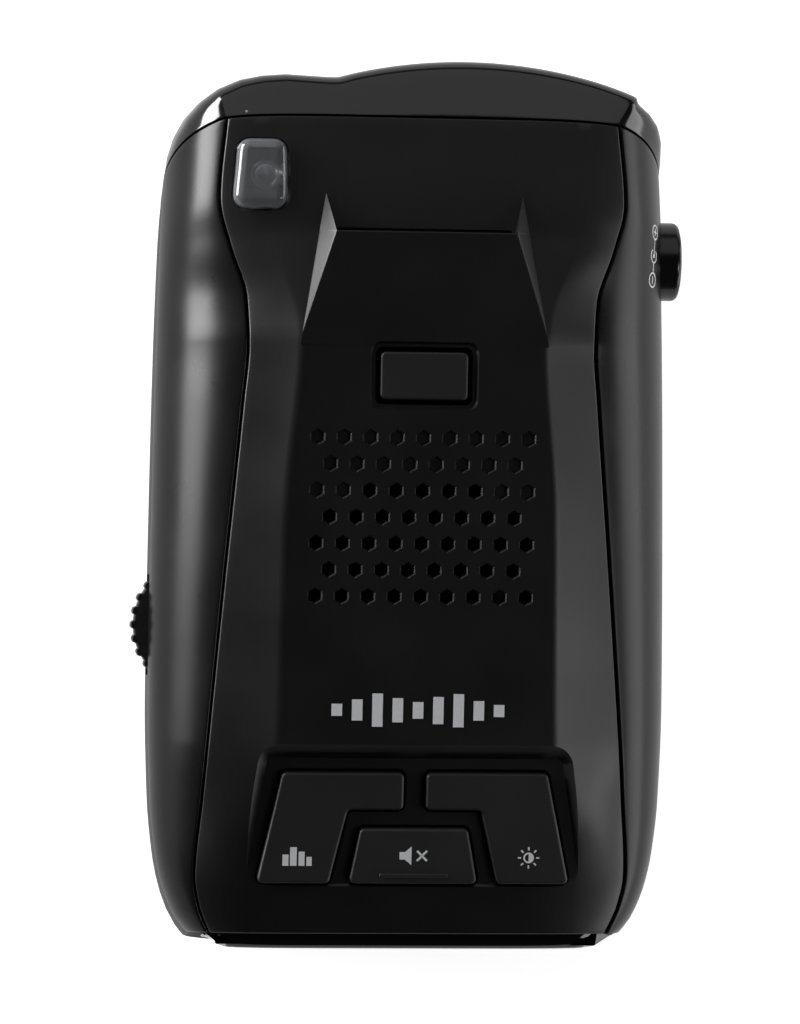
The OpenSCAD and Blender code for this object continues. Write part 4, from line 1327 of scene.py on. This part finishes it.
@dataclass
class Keys:
    """Three keys with their legends."""

    edge: float = 0.35
    flange: float = 0.6
    legend_h: float = 0.03

    def build(self) -> None:
        """Build the keys and legends and dress them."""
        place = KEYS.place()
        under = -KEYS.tray - KEYS.play
        for name, outline in KEYS.outlines().items():
            wide = grown(outline, self.flange)
            loops = [at_height(wide, under - 0.9), at_height(wide, under), at_height(outline, under)]
            loops += rounded_top(outline, KEYS.rise, self.edge)
            made = loft(f"{name}_cap", loops, place)
            x, y = {"left_key": (-14.6, -42.5), "centre_key": (0, -46.4), "right_key": (14.6, -42.5)}[name]
            ring = [(0.01, under - 2), (1.9, under - 2), (2, under - 1.9), (2, under - 0.8), (0.01, under - 0.8)]
            carve(made, lathe("pad", ring, 28, place @ shift(x, y, 0)), Cut.TOGETHER)
            if name == "centre_key":
                bar = rounded(block(9.2, 0.55), 0.25, 3) + [0, -48.95]
                loops = [at_height(bar, 0.6)] + rounded_top(bar, KEYS.rise + 0.3, 0.15, 3)[:-1]
                carve(made, loft("bar", loops, place), Cut.TOGETHER)
            dress(made, "key_black", body=name, nodes=[name])
            legend = self.legend(name, place)
            dress(legend, "legend_print", body=name)

    def legend(self, name: str, place: Matrix) -> bpy.types.Object:
        """Printed sign on one key: a row of houses, a silent speaker or a dimmed lamp."""
        low, top = KEYS.rise - 0.02, KEYS.rise + self.legend_h
        shapes: list[np.ndarray] = []
        if name == "left_key":
            at = (-15.6, -46.5)
            for x, w, h in ((-1.5, 0.8, 1.5), (-0.45, 0.9, 2.5), (0.65, 0.8, 1.9), (1.65, 0.7, 1.2)):
                shapes.append(np.array(block(w, h)) + [x, h / 2 - 1.2])
        elif name == "centre_key":
            at = (0.0, -46.3)
            shapes.append(np.array([(-1.9, -0.5), (-1.2, -0.5), (-0.3, -1.25), (-0.3, 1.25), (-1.2, 0.5), (-1.9, 0.5)]))
            for turn in (math.pi / 4, -math.pi / 4):
                c, s = math.cos(turn), math.sin(turn)
                shapes.append(np.array(block(1.9, 0.28)) @ np.array([[c, s], [-s, c]]) + [1.1, 0])
        else:
            at = (15.4, -46.5)
            a = np.linspace(-math.pi / 2, math.pi / 2, 20)
            shapes.append(np.stack([0.72 * np.cos(a), 0.72 * np.sin(a)], -1))
            shapes += self.ring_parts(0.72, 0.5, math.pi / 2, 3 * math.pi / 2)
            for k in range(8):
                c, s = math.cos(k * math.pi / 4), math.sin(k * math.pi / 4)
                ray = np.array(block(0.42, 0.2)) + [1.22, 0]
                shapes.append(ray @ np.array([[c, s], [-s, c]]))
        parts = [loft("sign", [at_height(s + list(at), low), at_height(s + list(at), top)], place) for s in shapes]
        return joined(f"{name}_legend", parts)

    @staticmethod
    def ring_parts(outer: float, inner: float, start: float, end: float) -> list[np.ndarray]:
        """A piece of a ring as one closed outline."""
        a = np.linspace(start, end, 20)
        out = np.stack([outer * np.cos(a), outer * np.sin(a)], -1)
        back = np.stack([inner * np.cos(a[::-1]), inner * np.sin(a[::-1])], -1)
        return [np.vstack([out, back])]


@dataclass
class BracketLatch:
    """Release button with its hook, and the spring under it."""

    width: float = 11.6
    length: float = 6.3
    y: float = 17.25
    flange_z: float = 25.5
    wire: float = 0.4
    turns: int = 3
    seat_z: float = 22.4

    def build(self) -> None:
        """Build the button and the spring and dress them."""
        outline = rounded(block(self.width, self.length), 0.7) + [0, self.y]
        loops = [at_height(outline, self.flange_z - 0.2)]
        for loop in rounded_top(outline, 0.0, 0.3):
            lifted = loop.copy()
            lifted[:, 2] += FORM.deck_z(lifted[:, 1])
            loops.append(lifted)
        made = loft("release_button_cap", loops)
        z = self.flange_z - 0.8
        base = np.array(block(14, 7.8)) + [0, self.y]
        carve(made, loft("flange", [at_height(base, z), at_height(base, z + 1.4)]), Cut.TOGETHER)
        arm = np.array(block(5, 10.95)) + [0, 22.725]
        carve(made, loft("arm", [at_height(arm, z + 0.02), at_height(arm, z + 1.38)]), Cut.TOGETHER)
        side = np.array([(0, 25.3), (3, 25.3), (3, 28.2), (0.75, 29.4), (0.5, 29.5), (0, 29.5)])
        loops = [np.column_stack([np.full(6, x), side[:, 0] + 25.2, side[:, 1]]) for x in (-2.48, 2.48)]
        carve(made, loft("hook", loops), Cut.TOGETHER)
        dress(made, "key_black", body="release_button", nodes=["release_button"])
        coil = dress(self.spring(), "spring_steel", nodes=["release_spring"])
        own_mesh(coil)

    def spring(self) -> bpy.types.Object:
        """Wire wound as a cone, so that it can lie nearly flat."""
        low, top = self.seat_z + self.wire / 2, self.flange_z - 0.8 - self.wire / 2
        steps = self.turns * 28
        ring = []
        for k in range(steps + 1):
            t = k / steps
            a = 2 * math.pi * self.turns * t
            rise = min(1, max(0, (t - 0.12) / 0.76))
            mean = 2.3 - 1.4 * t
            centre = np.array([mean * math.cos(a), mean * math.sin(a), low + (top - low) * rise])
            out = np.array([math.cos(a), math.sin(a), 0])
            b = np.linspace(0, 2 * math.pi, 10, endpoint=False)
            wire = self.wire / 2
            ring.append(centre + wire * (np.cos(b)[:, None] * out + np.sin(b)[:, None] * np.array([0, 0, 1])))
        return loft("release_spring_coil", ring, shift(0, self.y, 0))


@dataclass
class VolumeWheel:
    """Thumb wheel in the left side."""

    at: tuple[float, float] = (-28.2, -16.3)
    low: float = 8.2
    thick: float = 3.0
    d: float = 18.0
    teeth: int = 28

    def build(self) -> None:
        """Build the hub and teeth and dress them."""
        r, t = self.d / 2 - 0.45, self.thick
        profile = [(1.5, 0), (r - 0.35, 0), (r - 0.1, 0.1), (r, 0.35), (r, t - 0.35), (r - 0.1, t - 0.1), (r - 0.35, t)]
        profile += [(6.4, t), (6.1, t - 0.3), (3.1, t - 0.3), (2.8, t), (1.5, t)]
        hub = lathe("volume_wheel_hub", profile, 96, shift(self.at[0], self.at[1], self.low))
        dress(hub, "wheel_black", body="volume_wheel", nodes=["volume_wheel"])
        tooth = np.array([
            (-0.9, -0.7), (0.1, -0.62), (0.36, -0.42), (0.44, -0.15),
            (0.44, 0.15), (0.36, 0.42), (0.1, 0.62), (-0.9, 0.7),
        ])
        tooth = tooth * [1.0, 0.9]
        loops = [
            at_height(tooth * [0.75, 0.9], 0.02), at_height(tooth, 0.3),
            at_height(tooth, t - 0.3), at_height(tooth * [0.75, 0.9], t - 0.02),
        ]
        one = loft("tooth", loops)
        sizes = {"Count": self.teeth, "Radius": (self.d / 2 - 0.46) * MM}
        made = Copies(Pattern.RING, sizes).build(
            "volume_wheel_teeth", one, "wheel_black", shift(self.at[0], self.at[1], self.low)
        )
        dress(made, "wheel_black", body="volume_wheel")


@dataclass
class PowerInlet:
    """Barrel of the power inlet in the right side, its pin and the polarity sign beside it."""

    y: float = 33.7
    z: float = 12.0
    end_x: float = 36.4
    d: float = 10.6
    bore: float = 5.6

    def build(self) -> None:
        """Build the inlet, pin and sign and dress them."""
        turn = shift(28, self.y, self.z) @ Matrix.Rotation(math.pi / 2, 4, "Y")
        end, r, b = self.end_x - 28, self.d / 2, self.bore / 2
        profile = [(b, -1), (b, end - 0.55), (b + 0.45, end - 0.1), (b + 0.6, end - 0.1), (b + 0.75, end)]
        profile += [
            (r - 0.7, end), (r - 0.3, end - 0.12), (r - 0.08, end - 0.4), (r, end - 0.75),
            (r, 0), (r - 0.2, -0.2), (r - 0.2, -1),
        ]
        barrel = lathe("power_inlet_barrel", profile, 72, turn)
        body = rounded(block(10, 10), 0.5, 3)
        loops = [
            at_height(grown(body, -0.2), -3.4), at_height(body, -3.2), at_height(body, 2.8), at_height(grown(body, -0.2), 3.0),
        ]
        rear = loft("inlet_body", loops, shift(28, self.y, 11.5) @ Matrix.Rotation(math.pi / 2, 4, "Y"))
        a = np.linspace(0, 2 * math.pi, 48, endpoint=False)
        hole = np.stack([b * np.cos(a), b * np.sin(a)], -1)
        carve(barrel, rear, Cut.TOGETHER)
        carve(barrel, loft("bore", [at_height(hole, -1), at_height(hole, end + 1)], turn), Cut.AWAY)
        dress(barrel, "inlet_black", nodes=["power_inlet"])
        tip = [(0.01, -1.2), (1, -1.2), (1, 6.9), (0.85, 7.35), (0.5, 7.6), (0.01, 7.6)]
        pin = lathe("power_inlet_contact_pin", tip, 28, turn)
        dress(pin, "contact_brass", nodes=["power_inlet_pin"])
        dress(self.sign(), "legend_print")

    def sign(self) -> bpy.types.Object:
        """Polarity sign: a ringed minus, a cup round a dot and a ringed plus, joined by two lines."""
        strokes: list[tuple[list[tuple[float, float]], float]] = []
        for centre in (-3.6, 3.6):
            a = np.linspace(0, 2 * math.pi, 25)
            strokes.append(([(1.05 * math.cos(t), centre + 1.05 * math.sin(t)) for t in a], 0.22))
            strokes.append(([(0, centre - 0.55), (0, centre + 0.55)], 0.22))
        strokes.append(([(-0.55, 3.6), (0.55, 3.6)], 0.22))
        a = np.linspace(math.radians(125), math.radians(415), 23)
        strokes.append(([(1.0 * math.cos(t), 1.0 * math.sin(t)) for t in a], 0.22))
        strokes.append(([(0, -2.55), (0, -1.0)], 0.2))
        strokes.append(([(0, 0), (0, 2.55)], 0.2))
        strokes.append(([(0, -0.28), (0, 0.28)], 0.56))
        parts = []
        for line, width in strokes:
            path = np.array(line, float)
            way = np.gradient(path, axis=0)
            way /= np.linalg.norm(way, axis=1)[:, None]
            side = np.stack([-way[:, 1], way[:, 0]], -1) * width / 2
            corners = ((1, 0.03), (-1, 0.03), (-1, -0.03), (1, -0.03))
            rows = [self.on_shoulder(path + side * k, lift) for k, lift in corners]
            n = len(path)
            points = np.vstack(rows)
            faces = []
            for i in range(n - 1):
                for k in range(4):
                    j = (k + 1) % 4
                    faces.append([k * n + i, k * n + i + 1, j * n + i + 1, j * n + i])
            faces += [[0, n, 2 * n, 3 * n], [n - 1, 2 * n - 1, 3 * n - 1, 4 * n - 1]]
            parts.append(solid("stroke", points, faces, weld=1e-5))
        return joined("polarity_sign", parts)

    def on_shoulder(self, flat: np.ndarray, lift: float) -> np.ndarray:
        """Lay flat points on the right shoulder beside the inlet.

        Args:
            flat: Points as (distance towards the seam, distance along the case).
            lift: Height over the surface.

        Returns:
            Points on the shoulder.
        """
        out = []
        for u, v in flat:
            y = self.y + v + 1.2
            line = FORM.shoulder(y)
            low = length_of(line) - 9.1 - u
            eps = along(line, np.array([low - 0.05, low, low + 0.05]))
            way = eps[2] - eps[0]
            way /= np.linalg.norm(way)
            p = eps[1] + lift * np.array([-way[1], way[0]])
            out.append(FORM.place(np.array([p[0]]), y, np.array([p[1]]))[0])
        return np.array(out)


@dataclass
class Emblem:
    """Row of silver bars that rise and fall like a sound level."""

    y: float = -26.9
    pitch: float = 2.7
    heights: tuple[float, ...] = (1.6, 2.8, 4.4, 3.2, 2.2, 3.6, 4.4, 2.6, 1.6)

    def build(self) -> None:
        """Build the bars and dress them."""
        mesh = bpy.data.meshes.new("bars")
        middle = (len(self.heights) - 1) / 2
        mesh.from_pydata([((i - middle) * self.pitch * MM, 0, 0) for i in range(len(self.heights))], [], [])
        size = mesh.attributes.new("bar_height", "FLOAT", "POINT")
        for i, h in enumerate(self.heights):
            size.data[i].value = h * MM
        row = bpy.data.objects.new("bars", mesh)
        bpy.context.scene.collection.objects.link(row)
        copies = Copies(Pattern.ROW, {"Width": 1.4 * MM, "Thickness": 0.12 * MM})
        made = copies.build("emblem_bars", row, "silver_print", deck_place(self.y) @ shift(0, 0, 0.03))
        dress(made, "silver_print", nodes=["emblem"])


@dataclass
class Screws:
    """Pan-head screws with cross recesses, in three sets of four."""

    def one(self, length: float, d: float, head_d: float, head_t: float, up: bool) -> bpy.types.Object:
        """One screw whose shaft starts at the origin.

        Args:
            length: Length of the shaft.
            d: Diameter of the shaft.
            head_d: Diameter of the head.
            head_t: Height of the head.
            up: True if the head looks up, false if it looks down.

        Returns:
            The screw.
        """
        r, h = d / 2, head_d / 2
        profile = [(0.01, length), (r * 0.4, length), (r, length - r)]
        count = max(4, int(length / 0.9))
        for k in range(count):
            z = length - r - (length - r - 0.2) * (k + 0.5) / count
            profile += [(r, z + 0.12), (r * 0.8, z), (r, z - 0.12)]
        profile += [(r, 0), (h, 0), (h, -head_t * 0.4), (h * 0.86, -head_t * 0.8), (h * 0.6, -head_t), (0.01, -head_t)]
        turn = Matrix.Rotation(math.pi, 4, "X") if up else Matrix.Identity(4)
        made = lathe("screw", profile, 28, turn)
        for angle in (0, math.pi / 2):
            arm = np.array(block(head_d * 0.52, head_d * 0.13))
            loops = [at_height(arm * 0.6, -head_t * 0.35), at_height(arm, -head_t - 0.2)]
            carve(made, loft("arm", loops, turn @ Matrix.Rotation(angle + 0.3, 4, "Z")), Cut.AWAY)
        return made

    def build(self) -> None:
        """Build the three sets and dress them."""
        sets = (
            ("case_screws", "black_steel", (15, 2.2, 5, 1.8, False), 40.0, 57.0, (0, -0.5, 3.6)),
            ("board_screws", "screw_steel", (4.2, 1.8, 4, 1.2, True), 54.0, 57.0, (0, -16.5, 6.5)),
            ("retainer_screws", "screw_steel", (4, 1.4, 3, 0.8, False), 24.8, 18.8, (0, 22.6, 20.8)),
        )
        for node, finish, sizes, wide, deep, middle in sets:
            grid = {
                "Columns": 2, "Rows": 2, "Pitch X": wide * MM, "Pitch Y": deep * MM, "Staggered": False, "Open Rows": 4,
                "Closed": False,
            }
            made = Copies(Pattern.GRID, grid).build(f"{node}_set", self.one(*sizes), finish, shift(*middle))
            dress(made, finish, nodes=[node])


@dataclass
class InnerParts:
    """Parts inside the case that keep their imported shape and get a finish."""

    finishes: dict[str, str] = field(
        default_factory=lambda: {
            "left_switch_stem": "stem_plastic", "centre_switch_stem": "stem_plastic", "right_switch_stem": "stem_plastic",
            "key_switch_housings": "part_black", "key_board": "board_green", "latch_retainer": "part_black",
            "volume_shaft": "screw_steel", "volume_pot_body": "part_black", "main_board": "board_green",
            "horn_antenna": "cast_horn", "shield_can": "tin_plate", "laser_board": "board_green",
            "front_laser_diode": "diode_epoxy", "rear_laser_diode": "diode_epoxy", "speaker_frame": "black_steel",
            "speaker_magnet": "magnet_steel", "speaker_cone": "cone_paper", "speaker_gasket": "foam",
            "display_module": "display_cell", "rating_plate": "plate_grey",
        }
    )

    def build(self) -> None:
        """Give each node its finish."""
        for node, finish in self.finishes.items():
            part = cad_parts[node]
            made = material(finish)
            if part.material_slots:
                for place in part.material_slots:
                    place.material = made
            else:
                part.data.materials.append(made)
            LOG.info("%s keeps its packed shape, in %s", node, finish)


# ---------- room ----------


@dataclass
class Studio:
    """Pale floor, soft lights and the camera."""

    target: tuple[float, float, float] = (-1.1, -0.7, 13.0)
    distance: float = 690.0
    lean: float = 6.5
    roll: float = 0.7
    view_mm: float = 138.2
    room_glow: float = 0.014
    table_left: float = 0.45
    table_right: float = 0.8
    floor_glow: float = 0.8
    lamps: tuple[tuple[str, tuple, tuple, tuple[float, float], float], ...] = (
        ("left_window", (-0.80, 0.38, 0.12), (0, 0.03, 0.02), (0.78, 0.44), 20.0),
        ("right_wall", (0.95, -0.15, 0.14), (0, -0.02, 0.02), (1.5, 0.44), 6.0),
        ("right_rear_window", (0.74, -0.26, 0.72), (0, 0, 0.02), (0.28, 0.28), 1.7),
        ("front_ceiling", (0.0, 0.75, 0.65), (0, 0.05, 0.02), (1.4, 0.9), 2.2),
    )

    def floor(self) -> None:
        """Lay the pale floor."""
        mesh = bpy.data.meshes.new("floor")
        half = 1.2
        mesh.from_pydata([(-half, -half, 0), (half, -half, 0), (half, half, 0), (-half, half, 0)], [], [(0, 1, 2, 3)])
        made = bpy.data.objects.new("floor", mesh)
        bpy.context.scene.collection.objects.link(made)
        paper = bpy.data.materials.new("paper_white_matte")
        paper.use_nodes = True
        tree = paper.node_tree
        tree.nodes.clear()
        place = add_node(tree, "ShaderNodeTexCoord")
        fibre = add_node(tree, "ShaderNodeTexNoise", {"Vector": place.outputs["Object"], "Scale": 400.0, "Detail": 3.0})
        colour = add_node(
            tree, "ShaderNodeMix",
            {0: fibre.outputs["Fac"], 6: linear("#f6f6f6"), 7: linear("#fafafa")}, data_type="RGBA",
        )
        shader = add_node(
            tree,
            "ShaderNodeBsdfPrincipled",
            {
                "Base Color": colour.outputs[2], "Roughness": 0.9,
                "Emission Color": linear("#ffffff"), "Emission Strength": self.floor_glow,
            },
        )
        add_node(tree, "ShaderNodeOutputMaterial", {"Surface": shader.outputs[0]})
        made.data.materials.append(paper)
        # Reflections see the room below the horizon instead of the glowing floor
        made.visible_glossy = made.visible_shadow = False

    @staticmethod
    def lamp(name: str, at: tuple, to: tuple, size: tuple[float, float], power: float) -> None:
        """Hang one soft light.

        Args:
            name: Name of the light.
            at: Its place in metres.
            to: The point that it faces.
            size: Its width and height in metres.
            power: Its power in watts.
        """
        data = bpy.data.lights.new(name, "AREA")
        data.shape, data.size, data.size_y, data.energy = "RECTANGLE", size[0], size[1], power
        lamp = bpy.data.objects.new(name, data)
        bpy.context.scene.collection.objects.link(lamp)
        lamp.location = at
        lamp.rotation_mode = "QUATERNION"
        lamp.rotation_quaternion = (Vector(to) - Vector(at)).to_track_quat("-Z", "Y")

    def lights(self) -> None:
        """Set the soft lights and the dim room."""
        bpy.context.scene.view_settings.view_transform = "Standard"
        for name, at, to, size, power in self.lamps:
            self.lamp(name, at, to, size, power)
        world = bpy.data.worlds.new("room")
        world.use_nodes = True
        tree = world.node_tree
        back = tree.nodes["Background"]
        back.inputs[0].default_value = linear("#ffffff")
        way = add_node(tree, "ShaderNodeSeparateXYZ", {0: add_node(tree, "ShaderNodeTexCoord").outputs["Generated"]})
        # Below the horizon the room is as bright as a table seen in reflection, more so to the right
        across, table = (
            add_node(
                tree, "ShaderNodeMapRange",
                {"Value": way.outputs[axis], "From Min": -span, "From Max": span, "To Min": start, "To Max": end},
            )
            for axis, span, start, end in ((0, 1.0, self.table_left, self.table_right), (2, 0.02, 1.0, 0.0))
        )
        low = add_node(tree, "ShaderNodeMath", {0: across.outputs[0], 1: table.outputs[0]}, operation="MULTIPLY")
        total = add_node(tree, "ShaderNodeMath", {0: low.outputs[0], 1: self.room_glow}, operation="ADD")
        tree.links.new(total.outputs[0], back.inputs[1])
        bpy.context.scene.world = world

    def camera(self) -> None:
        """Set the camera above the case, a little to its left."""
        data = bpy.data.cameras.new("camera")
        data.sensor_width, data.lens = 24.0, 24.0 * self.distance / self.view_mm
        data.clip_start, data.clip_end = 0.01, 10.0
        cam = bpy.data.objects.new("camera", data)
        bpy.context.scene.collection.objects.link(cam)
        a, r = math.radians(self.lean), math.radians(self.roll)
        back = Vector((-math.sin(a), 0, math.cos(a)))
        up = Vector((-math.sin(r), math.cos(r), 0))
        right = up.cross(back).normalized()
        up = back.cross(right).normalized()
        turn = Matrix((right, up, back)).transposed()
        cam.matrix_world = Matrix.Translation(Vector(self.target) * MM + back * self.distance * MM) @ turn.to_4x4()
        bpy.context.scene.camera = cam

    def build(self) -> None:
        """Build the whole room."""
        self.floor()
        self.lights()
        self.camera()


def main() -> None:
    """Build every sub-assembly in order."""
    logging.basicConfig(level=logging.INFO, format="%(message)s")
    for part in (
        TopPanel(), SidePanels(), LowerCase(), DisplayWindow(), FrontWindow(), RearLens(), Keys(), BracketLatch(),
        VolumeWheel(), PowerInlet(), Emblem(), Screws(), InnerParts(), Studio(),
    ):
        part.build()
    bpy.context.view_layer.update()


if __name__ == "__main__":
    main()
